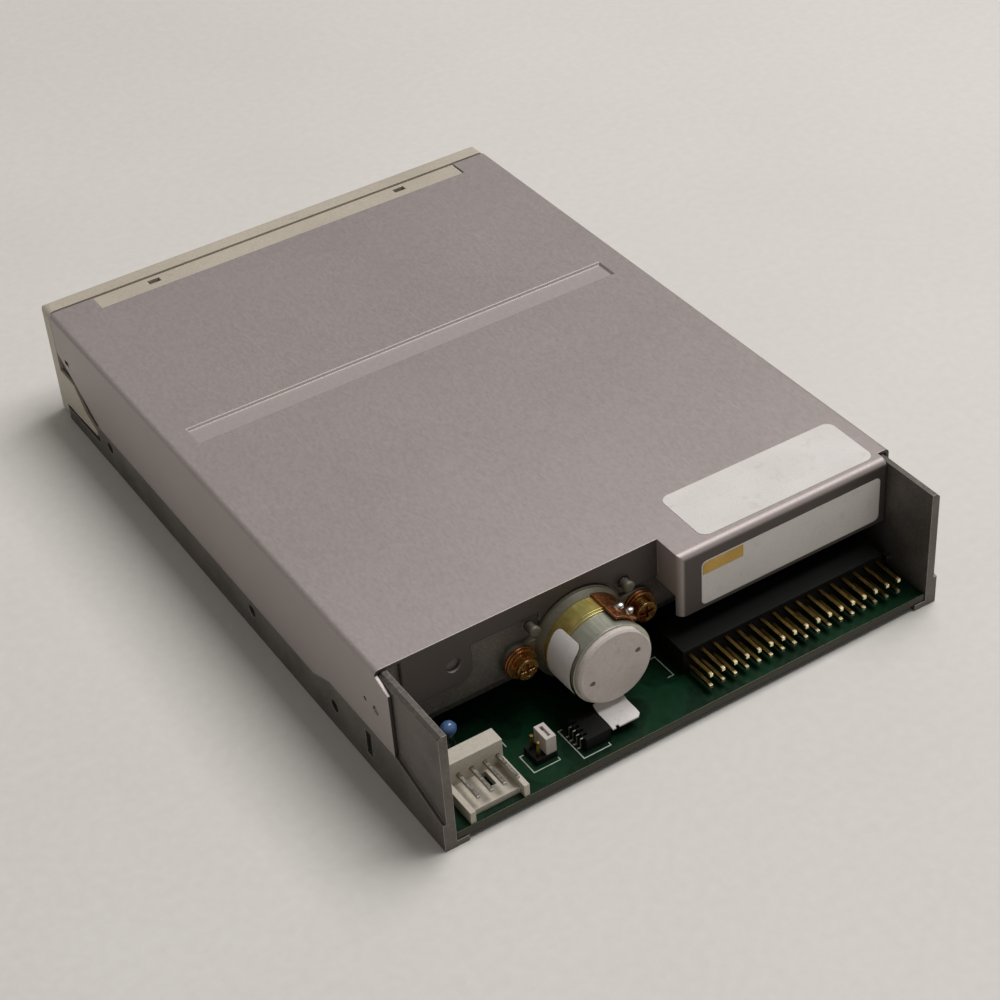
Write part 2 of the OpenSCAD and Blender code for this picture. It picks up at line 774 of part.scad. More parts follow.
module dust_door() {
    half = door_w / 2;
    color("#b9b097") {
        box(-half, half, door_y - door_t / 2, door_y + door_t / 2, slot_z - slot_h / 2 + 0.2, door_z);
        bar_x(-half, half, door_y, door_z, door_t / 2);
        bar_x(-slot_w / 2 - 0.9, -half + 0.1, door_y, door_z, trunnion_r);
        bar_x(half - 0.1, slot_w / 2 + spring_pocket + 0.5, door_y, door_z, trunnion_r);
    }
}

module door_spring() {
    color("#9a9a98") translate([slot_w / 2 + 0.9, door_y, door_z])
        rotate([0, 90, 0])
        coil(0.9, 0.14, 0.72, 2);
}

module eject_button() {
    color("#b9b097") difference() {
        box(button_x - button_w / 2, button_x + button_w / 2, -bezel_t - button_proud, button_back,
            button_z - button_h / 2, button_z + button_h / 2);
        box(tab_a - fit, tab_b + fit, -0.5 - fit, button_back + 1, slide_z - fit, slide_top + fit);
    }
}

module led_window() {
    color("#8fbf6a") box(lamp_x - lamp_w / 2, lamp_x + lamp_w / 2, -bezel_t, led_back - 5.6,
        lamp_z - lamp_h / 2, lamp_z + lamp_h / 2);
}

module activity_led() {
    color("#7fb85a") {
        bar_y(led_back - 5.2, led_back, lamp_x, lamp_z, led_r);
        bar_y(led_back - 1, led_back, lamp_x, lamp_z, led_r + 0.35);
        for (s = [-1, 1])
            box(lamp_x + s * 1.27 - 0.25, lamp_x + s * 1.27 + 0.25, led_back - 0.2, led_back + 1.4,
                lamp_z - 0.25, lamp_z + 0.25);
        for (s = [-1, 1])
            box(lamp_x + s * 1.27 - 0.25, lamp_x + s * 1.27 + 0.25, led_back + 0.9, led_back + 1.4,
                front_board_top, lamp_z);
    }
}

// Slide plate, holder and lever

// Slanted slot that a roller runs down as the slide plate comes forward
module ramp_slot(y) {
    r = roller_r + run / 2;
    slope = atan2(load_drop, eject_travel);
    upper = [for (a = [90:15:270]) [y + r * cos(a - slope), roller_z + r * sin(a - slope)]];
    lower = [for (p = upper) [2 * y + eject_travel - p[0], 2 * roller_z - load_drop - p[1]]];
    slab_x(slide_out - slide_t - 1, slide_out + 1, concat(upper, lower));
}

module slide_plate() {
    ear_back = spring_front - 0.7;
    ear_front = ear_back - slide_t;
    color("#b4b4ae") difference() {
        union() {
            both_sides() box(rail_in, slide_out, slide_front, slide_back, slide_z, slide_top);
            both_sides()
                box(slide_out - slide_t, slide_out, slide_front, slide_back, slide_z, slide_wall_top);
            both_sides() box(spring_x - 1, rail_in + 0.1, ear_front, ear_back, slide_z, spring_z + 0.9);
            box(-rail_in - 0.1, rail_in + 0.1, cross_y, cross_y + cross_d, slide_z, slide_top);
            box(tab_a, tab_b, -0.5, slide_front + 0.1, slide_z, slide_top);
        }
        both_sides() for (y = roller_ys) ramp_slot(y);
    }
}

module eject_springs() {
    pitch = (spring_back - spring_front) / spring_turns;
    color("#9a9a98") both_sides() translate([spring_x, spring_front, spring_z])
        rotate([-90, 0, 0])
        coil(spring_r, spring_wire, pitch - 0.03, spring_turns);
}

module disk_holder() {
    slot_in = lever_len - lever_pin_r - run;
    slot_out = lever_len + lever_pin_r + run;
    color("#b4b4ae") difference() {
        union() {
            box(-holder_out, holder_out, holder_front, holder_back, holder_top - holder_t, holder_top);
            both_sides() box(holder_in, holder_out, holder_front, holder_back, holder_low, holder_top);
            both_sides() box(lip_in, holder_out, holder_front, holder_back, holder_low,
                holder_low + holder_t);
        }
        box(-window_w, window_w, window_y, holder_back + 1, holder_top - holder_t - 1, holder_top + 1);
        for (s = [-1, 1], y = roller_ys)
            bar_x(s * holder_in - 2, s * holder_in + 2, y, roller_z, stud_r + bore_gap);
        bar_z(holder_top - 2, holder_top + 1, lever_x, lever_y, rivet_r / 2 + bore_gap);
        translate([lever_x, lever_y, holder_top - holder_t - 0.5])
            rotate([0, 0, lever_rest - 4])
            rotate_extrude(angle = lever_swing + 8)
            translate([slot_in, 0])
            square([slot_out - slot_in, holder_t + 1]);
    }
}

module holder_rollers() {
    color("#a8a8a4") for (s = [0, 1], y = roller_ys) mirror([s, 0, 0]) {
        bar_x(holder_out + 0.05, roller_end, y, roller_z, roller_r);
        bar_x(holder_in, holder_out + 0.2, y, roller_z, stud_r);
    }
}

module shutter_lever() {
    color("#9fa0a0") translate([lever_x, lever_y, lever_z]) rotate([0, 0, lever_rest]) difference() {
        union() {
            cylinder(h = lever_t, r = lever_w / 2 + 0.6);
            translate([0, -lever_w / 2, 0]) cube([lever_len, lever_w, lever_t]);
            translate([lever_len, 0, 0]) cylinder(h = lever_t, r = lever_w / 2);
            translate([lever_len, 0, holder_low + 1 - lever_z])
                cylinder(h = lever_z - holder_low - 0.9, r = lever_pin_r);
        }
        translate([0, 0, -1]) cylinder(h = lever_t + 2, r = rivet_r + bore_gap);
    }
}

module lever_rivet() {
    color("#8c8c88") {
        bar_z(holder_top - holder_t, holder_top + 0.1, lever_x, lever_y, rivet_r / 2);
        bar_z(holder_top, rivet_top - rivet_head_t / 2, lever_x, lever_y, rivet_r);
        bar_z(rivet_top - rivet_head_t, rivet_top, lever_x, lever_y, rivet_r + 1.2);
    }
}

module lever_spring() {
    wire = 0.16;
    turns = 2;
    low = lever_z + lever_t + wire + 0.19;
    high = rivet_top - rivet_head_t - wire - 0.15;
    color("#9a9a98") translate([lever_x, lever_y, low]) coil(2, wire, (high - low) / turns, turns);
}

// Spindle

module spindle_hub() {
    color("#c9c9c4") difference() {
        union() {
            bar_z(hub_z, hub_z + hub_t, 0, spindle_y, hub_r);
            bar_z(rotor_z, pin_top - 0.4, 0, spindle_y, shaft_r);
            translate([0, spindle_y, pin_top - 0.4]) cylinder(h = 0.4, r1 = shaft_r, r2 = shaft_r - 0.5);
        }
        bar_z(hub_z - 1, hub_z + hub_t + 1, drive_r, spindle_y, drive_pin_r + run / 2);
        bar_z(hub_z - 1, hub_z + 1.4, drive_r, spindle_y, drive_pin_r + 1);
    }
}

module drive_pin() {
    color("#8c8c88") {
        bar_z(hub_z + 0.15, hub_z + hub_t + 1, drive_r, spindle_y, drive_pin_r);
        bar_z(hub_z + 0.15, hub_z + 0.7, drive_r, spindle_y, drive_pin_r + 0.7);
    }
}

module rotor_pan() {
    color("#b9b9b2") difference() {
        union() {
            bar_z(rotor_z, rotor_z + rotor_t, 0, spindle_y, rotor_r);
            bar_z(rotor_z, rotor_z + rotor_t + rotor_rim, 0, spindle_y, rotor_r);
        }
        difference() {
            bar_z(rotor_z + rotor_t, drive_h, 0, spindle_y, rotor_r - rotor_t);
            bar_z(rotor_z, rotor_z + 2.6, 0, spindle_y, shaft_r + 2);
        }
        bar_z(0, drive_h, 0, spindle_y, shaft_r + bore_gap);
        for (a = [30:60:330])
            bar_z(0, rotor_z + rotor_t + 0.1, 15 * cos(a), spindle_y + 15 * sin(a), 2.2);
    }
}

module rotor_magnet() {
    outer = rotor_r - rotor_t - bore_gap;
    color("#4a4640") difference() {
        bar_z(rotor_z + rotor_t, rotor_z + rotor_t + 2.9, 0, spindle_y, outer);
        bar_z(rotor_z, drive_h, 0, spindle_y, outer - magnet_t);
    }
}

module stator() {
    color("#a5633a") translate([0, spindle_y, stator_low]) {
        difference() {
            cylinder(h = motor_board_low - stator_low, r = stator_in + 3);
            translate([0, 0, -1]) cylinder(h = drive_h, r = stator_in);
        }
        for (i = [0:coil_count - 1]) rotate([0, 0, i * 360 / coil_count]) {
            translate([stator_in + 2, -1, 0.6]) cube([stator_out - stator_in - 2.6, 2, 1.2]);
            translate([stator_in + 5, -1.8, 0.2]) cube([6.5, 3.6, 2]);
            translate([stator_out - 1.2, -3, 0.2]) cube([1, 6, 2]);
        }
    }
}

module spindle_bearing() {
    color("#b58b4a") difference() {
        union() {
            bar_z(bearing_low, hub_z - run, 0, spindle_y, bearing_r);
            bar_z(bearing_low, motor_board_low, 0, spindle_y, bearing_r + 1.1);
        }
        bar_z(0, drive_h, 0, spindle_y, shaft_r + bore_gap);
    }
}

module motor_board() {
    color("#3f5d46") difference() {
        box(-motor_board_x, motor_board_x, motor_board_front, motor_board_back, motor_board_low, deck_z);
        bar_z(0, drive_h, 0, spindle_y, bearing_r + bore_gap);
        for (p = motor_screws)
            bar_z(0, drive_h, p[0], p[1], screw_shank + 0.15);
    }
}

// One board screw with its head below
module board_screw(p, seat, tip) {
    bar_z(seat - 0.2, tip, p[0], p[1], screw_shank);
    difference() {
        bar_z(seat - screw_head_t, seat, p[0], p[1], screw_head);
        box(p[0] - 1.4, p[0] + 1.4, p[1] - 0.2, p[1] + 0.2, seat - 2 * screw_head_t, seat - 0.5);
        box(p[0] - 0.2, p[0] + 0.2, p[1] - 1.4, p[1] + 1.4, seat - 2 * screw_head_t, seat - 0.5);
    }
}

module board_screws() {
    color("#b3a25c") {
        for (p = main_screws)
            board_screw(p, foot_t, deck_z - 0.4);
        for (p = motor_screws)
            board_screw(p, motor_board_low, deck_top - 0.1);
        for (p = front_screws)
            board_screw(p, front_board_low, deck_top - 0.1);
    }
}

// Stepper motor

module stepper_flange() {
    ear_r = 3;
    color("#a39c83") difference() {
        union() {
            bar_y(web_back, flange_back, motor_x, motor_z, flange_r);
            box(motor_screw_xs[0], motor_screw_xs[1], web_back, flange_back,
                motor_z - ear_r, motor_z + ear_r);
            for (x = motor_screw_xs)
                bar_y(web_back, flange_back, x, motor_z, ear_r);
        }
        bar_y(web_back - 1, flange_back + 1, motor_x, motor_z, screw_r + 0.6);
        for (x = motor_screw_xs)
            bar_y(web_back - 1, flange_back + 1, x, motor_z, motor_screw_r + 0.2);
    }
}

module stepper_front_cup() {
    color("#b59a56") difference() {
        bar_y(flange_back, front_cup_back, motor_x, motor_z, cup_r);
        bar_y(flange_back - 1, front_cup_back + 1, motor_x, motor_z, magnet_r + 0.5);
    }
}

module stepper_rear_cup() {
    color("#b3afa2") difference() {
        union() {
            bar_y(front_cup_back, can_back, motor_x, motor_z, can_r);
            bar_y(front_cup_back, front_cup_back + 0.6, motor_x, motor_z, can_r + 0.25);
            bar_y(can_back - 0.6, can_back, motor_x, motor_z, can_r + 0.2);
        }
        bar_y(front_cup_back - 1, can_back - 0.8, motor_x, motor_z, magnet_r + 0.5);
        bar_y(front_cup_back, can_back + 1, motor_x, motor_z, journal_r + 0.6);
    }
}

module stepper_end_cap() {
    color("#cbc8bd") difference() {
        union() {
            bar_y(can_back, cap_back - 0.4, motor_x, motor_z, cap_r);
            translate([motor_x, cap_back - 0.4, motor_z]) rotate([-90, 0, 0])
                cylinder(h = 0.4, r1 = cap_r, r2 = cap_r - 0.4);
        }
        translate([motor_x, can_back - 1, motor_z]) rotate([0, -144, 0])
            translate([cap_r - 0.4, 0, -cap_r]) cube([1, end_cap_t + 2, 2 * cap_r]);
        bar_y(can_back - 1, cap_back - 0.3, motor_x, motor_z, journal_r - 0.2 + bore_gap);
        bar_y(cap_back - 0.7, cap_back + 1, motor_x - 4.4, motor_z + 1.5, 0.55);
        bar_y(cap_back - 0.7, cap_back + 1, motor_x + 4.7, motor_z - 1.2, 0.55);
    }
}

module stepper_rotor() {
    color("#5a564e") difference() {
        bar_y(flange_back + 0.6, can_back - 1.2, motor_x, motor_z, magnet_r);
        bar_y(flange_back, can_back, motor_x, motor_z, journal_r + bore_gap);
    }
}

module stepper_screws() {
    seat = flange_back + 0.5;
    color("#b98e4a") for (x = motor_screw_xs) {
        bar_y(web_front + 0.2, seat, x, motor_z, motor_screw_r);
        difference() {
            union() {
                bar_y(seat, seat + 0.5, x, motor_z, 2.9);
                bar_y(seat, seat + 2.2, x, motor_z, 2);
            }
            box(x - 1.4, x + 1.4, seat + 1.4, seat + 3, motor_z - 0.25, motor_z + 0.25);
            box(x - 0.25, x + 0.25, seat + 1.4, seat + 3, motor_z - 1.4, motor_z + 1.4);
        }
    }
}

// Copper lugs under the motor screws, one with a neck to a tongue that lies along the can
module stepper_clip() {
    back = flange_back + 0.5;
    right = motor_screw_xs[0];
    can = cup_r + fit;
    lean = 20;
    neck = [[right - 1, motor_z + 2.6], [right + 2.4, motor_z + 1], [right + 4, motor_z + 2.6],
        [motor_x - 4, motor_z + can - 0.6], [motor_x - 2.4 - strap_w, motor_z + can - 1.6]];
    color("#b9724a") difference() {
        union() {
            for (x = motor_screw_xs)
                bar_y(flange_back, back, x, motor_z, 2.9);
            slab_y(flange_back, back, neck);
            translate([motor_x, 0, motor_z]) rotate([0, -lean, 0])
                box(-strap_w, 0, flange_back, flange_back + strap_d, can, can + 0.5);
        }
        bar_y(flange_back - 1, back + 1, motor_x, motor_z, cup_r + fit / 2);
        for (x = motor_screw_xs)
            bar_y(flange_back - 1, back + 1, x, motor_z, motor_screw_r + 0.2);
    }
}

// Cross section of the lead screw: a full circle with one flat-bottomed groove
groove_share = 0.28;
flank_share = 0.12;
function groove_depth(t) =
    let (rise = groove_share + flank_share - abs(t - 0.5) * 2)
    groove_t * min(1, max(0, rise / flank_share));
thread_outline = [for (i = [0:thread_points - 1])
    let (t = i / thread_points, r = screw_r - groove_depth(t))
    [r * cos(360 * t), r * sin(360 * t)]];

module lead_screw() {
    turns = (thread_back - thread_front) / screw_lead;
    start = -360 * (needle_y - thread_front) / screw_lead;
    color("#c4c4be") {
        translate([motor_x, thread_front, motor_z]) rotate([-90, 0, 0]) rotate([0, 0, start])
            linear_extrude(thread_back - thread_front, twist = -360 * turns,
                slices = ceil(screw_steps * turns), $fn = thread_points)
            polygon(thread_outline);
        bar_y(rod_front + 0.9, thread_front + 0.1, motor_x, motor_z, journal_r);
        bar_y(thread_back - 0.1, can_back - 0.2, motor_x, motor_z, journal_r);
        bar_y(can_back - 0.3, cap_back - 0.4, motor_x, motor_z, journal_r - 0.2);
    }
}

module guide_rods() {
    color("#c9c9c4") for (x = rod_xs)
        bar_y(rod_front + 0.7, web_front + 1.1, x, rod_z, rod_r);
}

// Head carriage

module head_carriage() {
    x0 = rod_xs[0] - 3.5;
    x1 = rod_xs[1] + 2.5;
    color("#4f4d4a") difference() {
        union() {
            box(x0, x0 + 7, block_front, block_back, block_low, block_top);
            box(x1 - 5, x1, block_front + 3, block_back - 3, block_low, block_top);
            box(x0, x1, block_front, block_back, block_low, bridge_top);
            box(-nose_w, nose_w, head_y - 6, block_front + 0.5, block_low - 0.2, bridge_top - 0.1);
            both_sides() box(ear_in, ear_out, hinge_y - 3, hinge_y + 3, bridge_top - 0.1, hinge_z + 1.6);
            box(ear_out - 0.1, ear_out + 1, needle_y - 1.4, needle_y + 1.4, bridge_top - 0.1, motor_z + 1.4);
            box(flag_x - 0.5, flag_x + 0.5, sensor_y - 1.5, sensor_y + 1.5, deck_z - 1, block_low + 0.1);
        }
        bar_y(block_front - 1, block_back + 1, rod_xs[0], rod_z, rod_r + bore_gap);
        bar_y(block_front - 1, block_back + 1, rod_xs[1], rod_z, rod_r + run);
        bar_x(-ear_out - 1, ear_out + 2, hinge_y, hinge_z, hinge_r + bore_gap);
        bar_x(0, ear_out + 2, needle_y, motor_z, needle_r + bore_gap);
    }
}

module lower_head() {
    color("#2f3136") {
        box(-head_w, head_w, head_y - 4, head_y + 4, bridge_top - 0.1, bridge_top + 0.4);
        box(-head_w + 0.8, head_w - 0.8, head_y - 3, head_y + 3, bridge_top, head_face);
    }
}

// Needle that runs in the lead screw's groove
module follower_needle() {
    tip = motor_x - screw_r + groove_t * 0.6;
    color("#c9c9c4") {
        bar_x(ear_in + 0.1, tip - 0.9, needle_y, motor_z, needle_r);
        translate([tip - 0.9, needle_y, motor_z])
            rotate([0, 90, 0])
            cylinder(h = 0.9, r1 = needle_r, r2 = 0.15);
    }
}

module arm_pin() {
    color("#c9c9c4") bar_x(-ear_out - 0.4, ear_out + 0.4, hinge_y, hinge_z, hinge_r);
}

// Lifts a piece of the upper arm from its loaded place to its place at rest
module lifted() {
    translate([0, hinge_y, hinge_z]) rotate([-arm_lift, 0, 0]) translate([0, -hinge_y, -hinge_z]) children();
}

module upper_arm() {
    color("#5b5955") lifted() difference() {
        union() {
            bar_x(-ear_in + run, ear_in - 2.9, hinge_y, hinge_z, barrel_r);
            box(-arm_w, arm_w - 2.4, hinge_y - 6, hinge_y, hinge_z, hinge_z + barrel_r);
            box(-arm_w, arm_w, hinge_y - arm_reach, hinge_y - 4, hinge_z, hinge_z + arm_t);
        }
        bar_x(-ear_out, ear_out, hinge_y, hinge_z, hinge_r + bore_gap);
    }
}

module upper_head() {
    color("#2f3136") lifted() {
        box(-head_w, head_w, head_y - 3, head_y + 4, hinge_z - 0.6, hinge_z);
        box(-head_w + 0.8, head_w - 0.8, head_y - 3, head_y + 3, head_face + 0.1, hinge_z - 0.5);
    }
}

module arm_spring() {
    color("#9a9a98") translate([ear_in - 2.5, hinge_y, hinge_z]) rotate([0, 90, 0]) coil(1.35, 0.15, 0.74, 3);
}

// Flat cable from the carriage down to the main board
module head_flex() {
    y = block_front - 5.5;
    color("#8a5a2b") slab_x(flag_x + 1, flag_x + 7, [[y, board_top], [y + 0.25, board_top],
        [block_front + 1.75, block_low - 0.05], [block_front + 1.5, block_low - 0.05]]);
}

module track_sensor() {
    color("#232323") difference() {
        box(flag_x - 3.4, flag_x + 3.4, sensor_y - 3, sensor_y + 3, board_top, deck_top - 0.2);
        box(flag_x - 1.2, flag_x + 1.2, sensor_y - 4, sensor_y + 4, board_top + 2, drive_h);
    }
}

// Main board and its connectors

function pin_x(i) = header_x + (i - (pin_cols - 1) / 2) * pin_pitch;
function pin_z(row) = pin_low + row * pin_pitch;
function leg_y(row) = header_back - 2.6 - row * pin_pitch;
jumper_spots = [for (i = [-0.5, 0.5], j = [-0.5, 0.5])
    [jumper_x + i * jumper_pitch, jumper_y + j * jumper_pitch]];
function power_pin_x(i) = power_x - power_off + (i - 1.5) * power_pitch;

module main_board() {
    edge = wall_in - 0.2;
    color("#1f4a33") difference() {
        box(-edge, edge, board_front, board_back, foot_t, board_top);
        for (p = main_screws)
            bar_z(0, drive_h, p[0], p[1], screw_shank + 0.2);
        for (i = [0:pin_cols - 1], row = [0, 1])
            bar_z(0, drive_h, pin_x(i), leg_y(row), pin_w * 0.8);
        for (i = [0:3])
            bar_z(0, drive_h, power_pin_x(i), power_front + 1.4, 0.75);
        for (p = jumper_spots)
            bar_z(0, drive_h, p[0], p[1], jumper_pin * 0.8);
    }
}

module signal_header() {
    half = (pin_cols * pin_pitch) / 2;
    cell = pin_w / 2 + bore_gap / 2;
    color("#1d1c1b") difference() {
        box(header_x - half, header_x + half, header_back - header_wall, header_back,
            board_top, pin_z(1) + 1.3);
        for (i = [0:pin_cols - 1], row = [0, 1])
            box(pin_x(i) - cell, pin_x(i) + cell, leg_y(row) - cell, header_back + 1,
                pin_z(row) - cell, pin_z(row) + cell);
        for (i = [0:pin_cols - 1], row = [0, 1])
            box(pin_x(i) - cell, pin_x(i) + cell, leg_y(row) - cell, leg_y(row) + cell, 0, pin_z(row));
    }
}

module signal_pins() {
    half = pin_w / 2;
    color("#c8a24a") for (i = [0:pin_cols - 1], row = [0, 1]) {
        x = pin_x(i);
        z = pin_z(row);
        box(x - half, x + half, leg_y(row) - half, pin_tip, z - half, z + half);
        box(x - half, x + half, leg_y(row) - half, leg_y(row) + half, pin_leg, z);
    }
}

module power_socket() {
    half = power_w / 2;
    wall = 3.2;
    floor_top = board_top + power_floor;
    cell = power_pin_half + 0.05;
    slot_x = power_x - power_off - 0.5;
    color("#d3c7a4") difference() {
        union() {
            box(power_x - half, power_x + half, power_front, power_back - 1.3, board_top, floor_top);
            box(power_x - half, power_x + half, power_front, power_front + wall, board_top, board_top + 6.2);
            for (x = [power_x - half, power_x + half - 1])
                box(x, x + 1, power_front, power_back, board_top, floor_top + 1.2);
        }
        box(slot_x - 0.65, slot_x + 0.65, power_front + wall + 0.1, power_front + wall + 3.5,
            0, floor_top + 1);
        for (i = [0:3]) {
            x = power_pin_x(i);
            box(x - cell, x + cell, power_front + 0.9, power_back + 1,
                power_pin_z - cell, power_pin_z + cell);
            box(x - cell, x + cell, power_front + 0.9, power_front + 1.9, 0, power_pin_z);
        }
    }
}

module power_pins() {
    half = power_pin_half;
    color("#d8d2c0") for (i = [0:3]) {
        x = power_pin_x(i);
        box(x - half, x + half, power_front + 1, bay_back - 2, power_pin_z - half, power_pin_z + half);
        box(x - half, x + half, power_front + 1, power_front + 1.8, pin_leg, power_pin_z);
    }
}

module jumper_header() {
    cell = jumper_pin / 2 + bore_gap / 2;
    color("#1d1c1b") difference() {
        box(jumper_x - jumper_pitch, jumper_x + jumper_pitch,
            jumper_y - jumper_pitch, jumper_y + jumper_pitch, board_top, board_top + jumper_base);
        for (p = jumper_spots)
            box(p[0] - cell, p[0] + cell, p[1] - cell, p[1] + cell, 0, drive_h);
    }
}

module jumper_pins() {
    half = jumper_pin / 2;
    top = board_top + jumper_base + jumper_cap_h - 0.6;
    color("#c8a24a") for (p = jumper_spots)
        box(p[0] - half, p[0] + half, p[1] - half, p[1] + half, pin_leg, top);
}

module jumper_cap() {
    x = jumper_x - jumper_pitch / 2;
    half = jumper_pitch / 2 - 0.02;
    deep = jumper_pitch - 0.15;
    cell = jumper_pin / 2 + bore_gap;
    low = board_top + jumper_base;
    high = low + jumper_cap_h;
    color("#d9d6cc") difference() {
        box(x - half, x + half, jumper_y - deep, jumper_y + deep, low, high);
        for (p = jumper_spots)
            box(x - cell, x + cell, p[1] - cell, p[1] + cell, 0, high - 0.4);
        box(x - 0.3, x + 0.3, jumper_y - 1.3, jumper_y + 1.3, high - 0.5, drive_h);
    }
}

module option_header() {
    left = option_x + option_w / 2;
    top = board_top + 2.6;
    color("#1d1c1b") {
        difference() {
            box(option_x - option_w / 2, left, option_y - 3, option_y + 3, board_top, top);
            for (i = [-1.5:1.5]) {
                y = option_y + i * 1.1;
                box(left - 0.9, left + 1, y - 0.28, y + 0.28, top - 1.1, drive_h);
            }
        }
        box(flex_x - 3.2, flex_x + 3.1, bay_back - 9.6, bay_back - 6.8, board_top, board_top + 1.9);
    }
}

module stepper_flex() {
    half = flex_w / 2;
    low = board_top + 2;
    y = flange_back + 2 * cup_d + 0.2;
    color("#d9d6cc") {
        box(flex_x - half, flex_x + half, y - flex_t, bay_back - 3, low, low + flex_t);
        box(flex_x - half, flex_x + half, y - flex_t, y, low, motor_z - can_r - 0.35);
    }
}

module disc_capacitor() {
    x = power_x - 0.6;
    y = web_back + 1.9;
    bead_r = 1.45;
    bead_z = board_top + 4.6;
    color("#2f56a8") {
        translate([x, y, bead_z]) sphere(r = bead_r);
        translate([x, y, bead_z - 2.1]) cylinder(h = 1.6, r1 = 0.8, r2 = bead_r - 0.12);
        for (s = [-1, 1])
            bar_z(board_top, bead_z - 1.5, x + s * 0.5, y, 0.25);
    }
}

// Flat chip with its legs on four sides
module quad_chip(x, y, w, legs) {
    pitch = (w - 2) / (legs - 1);
    box(x - w / 2, x + w / 2, y - w / 2, y + w / 2, board_top + chip_leg, board_top + 2);
    for (a = [0, 90, 180, 270], i = [0:legs - 1])
        translate([x, y, 0]) rotate([0, 0, a]) {
            box(w / 2 - 0.1, w / 2 + 1, i * pitch - w / 2 + 0.85, i * pitch - w / 2 + 1.15,
                board_top + chip_leg, board_top + chip_leg + 0.2);
            box(w / 2 + 0.7, w / 2 + 1, i * pitch - w / 2 + 0.85, i * pitch - w / 2 + 1.15,
                board_top, board_top + chip_leg + 0.1);
        }
}

module board_chips() {
    color("#222224") {
        quad_chip(-22, board_front + 16, 14, 12);
        quad_chip(main_screw_x - 20, board_front + 14, 10, 8);
        box(main_screw_x - 10, main_screw_x - 6, board_front + 8, board_front + 19,
            board_top, board_top + 3.4);
    }
}

// Front sensor board

module front_board() {
    color("#1f4a33") difference() {
        box(-wall_in + 2.2, wall_in - 2.2, front_board_y0, front_board_y1, front_board_low, front_board_top);
        for (p = front_screws)
            bar_z(0, drive_h, p[0], p[1], screw_shank + 0.15);
    }
}

module switch_bodies() {
    half = switch_w / 2;
    color("#1d1c1b") for (x = switch_xs) difference() {
        box(x - half, x + half, switch_y - half, switch_y + half, front_board_top, deck_z - 0.05);
        bar_z(front_board_top + 0.15, drive_h, x, switch_y, plunger_r + 0.1);
    }
}

module plunger(x) {
    color("#c9c5b8") bar_z(front_board_top + plunger_travel + 0.25, plunger_top, x, switch_y, plunger_r);
}

module write_protect_plunger() plunger(switch_xs[0]);

module disk_in_plunger() plunger(switch_xs[1]);

module density_plunger() plunger(switch_xs[2]);

place() frame();
place() side_walls();
place() top_cover();
place() front_bezel();
place() dust_door();
place() door_spring();
place() eject_button();
place() slide_plate();
place() eject_springs();
place() disk_holder();
place() holder_rollers();
place() shutter_lever();
place() lever_rivet();
place() lever_spring();
place() spindle_hub();
place() drive_pin();
place() rotor_pan();
place() rotor_magnet();
place() stator();
place() spindle_bearing();
place() motor_board();
place() board_screws();
place() stepper_flange();
place() stepper_front_cup();
place() stepper_rear_cup();
place() stepper_end_cap();
place() stepper_rotor();
place() stepper_screws();
place() stepper_clip();
place() lead_screw();
place() guide_rods();
place() head_carriage();
place() lower_head();
place() follower_needle();
place() arm_pin();
place() arm_spring();
place() upper_arm();
place() upper_head();
place() head_flex();
place() track_sensor();
place() main_board();
place() signal_header();
place() signal_pins();
place() power_socket();
place() power_pins();
place() jumper_header();
place() jumper_pins();
place() jumper_cap();
place() option_header();
place() stepper_flex();
place() disc_capacitor();
place() board_chips();
place() front_board();
place() switch_bodies();
place() write_protect_plunger();
place() disk_in_plunger();
place() density_plunger();
place() activity_led();
place() led_window();
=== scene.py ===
"""Looks of an internal floppy disk drive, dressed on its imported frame. Metres, in the frame's own axes."""
import math
import bpy
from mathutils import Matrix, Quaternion, Vector


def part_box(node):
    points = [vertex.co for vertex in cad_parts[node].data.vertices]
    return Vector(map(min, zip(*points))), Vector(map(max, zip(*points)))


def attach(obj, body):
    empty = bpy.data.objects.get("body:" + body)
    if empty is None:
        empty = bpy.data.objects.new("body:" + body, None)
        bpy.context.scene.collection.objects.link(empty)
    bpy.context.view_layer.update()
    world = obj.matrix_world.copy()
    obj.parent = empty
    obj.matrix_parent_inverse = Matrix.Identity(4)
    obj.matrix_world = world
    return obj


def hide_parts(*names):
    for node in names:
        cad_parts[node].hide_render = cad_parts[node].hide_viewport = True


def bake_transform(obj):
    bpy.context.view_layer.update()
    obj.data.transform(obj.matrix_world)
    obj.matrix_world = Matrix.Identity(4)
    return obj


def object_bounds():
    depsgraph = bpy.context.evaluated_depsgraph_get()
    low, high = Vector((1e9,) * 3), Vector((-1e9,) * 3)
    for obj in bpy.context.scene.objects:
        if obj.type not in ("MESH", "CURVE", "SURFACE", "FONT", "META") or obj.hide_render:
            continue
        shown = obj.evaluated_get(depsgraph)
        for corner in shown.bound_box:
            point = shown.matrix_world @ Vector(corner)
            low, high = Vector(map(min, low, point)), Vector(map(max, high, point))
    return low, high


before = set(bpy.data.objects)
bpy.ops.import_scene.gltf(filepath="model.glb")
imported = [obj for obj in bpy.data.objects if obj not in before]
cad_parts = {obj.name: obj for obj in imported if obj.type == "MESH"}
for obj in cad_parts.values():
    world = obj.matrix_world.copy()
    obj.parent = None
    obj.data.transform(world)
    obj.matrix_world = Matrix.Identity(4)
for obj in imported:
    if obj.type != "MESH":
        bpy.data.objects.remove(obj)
cad_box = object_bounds()
MM = 0.001


# Small helpers


def srgb(code):
    """Linear colour of an sRGB hex value."""
    parts = [int(code[i:i + 2], 16) / 255 for i in (0, 2, 4)]
    linear = [c / 12.92 if c <= 0.04045 else ((c + 0.055) / 1.055) ** 2.4 for c in parts]
    return (*linear, 1.0)


def per_mm(size):
    """Texture scale whose features are that many millimetres wide."""
    return 1 / (size * MM)


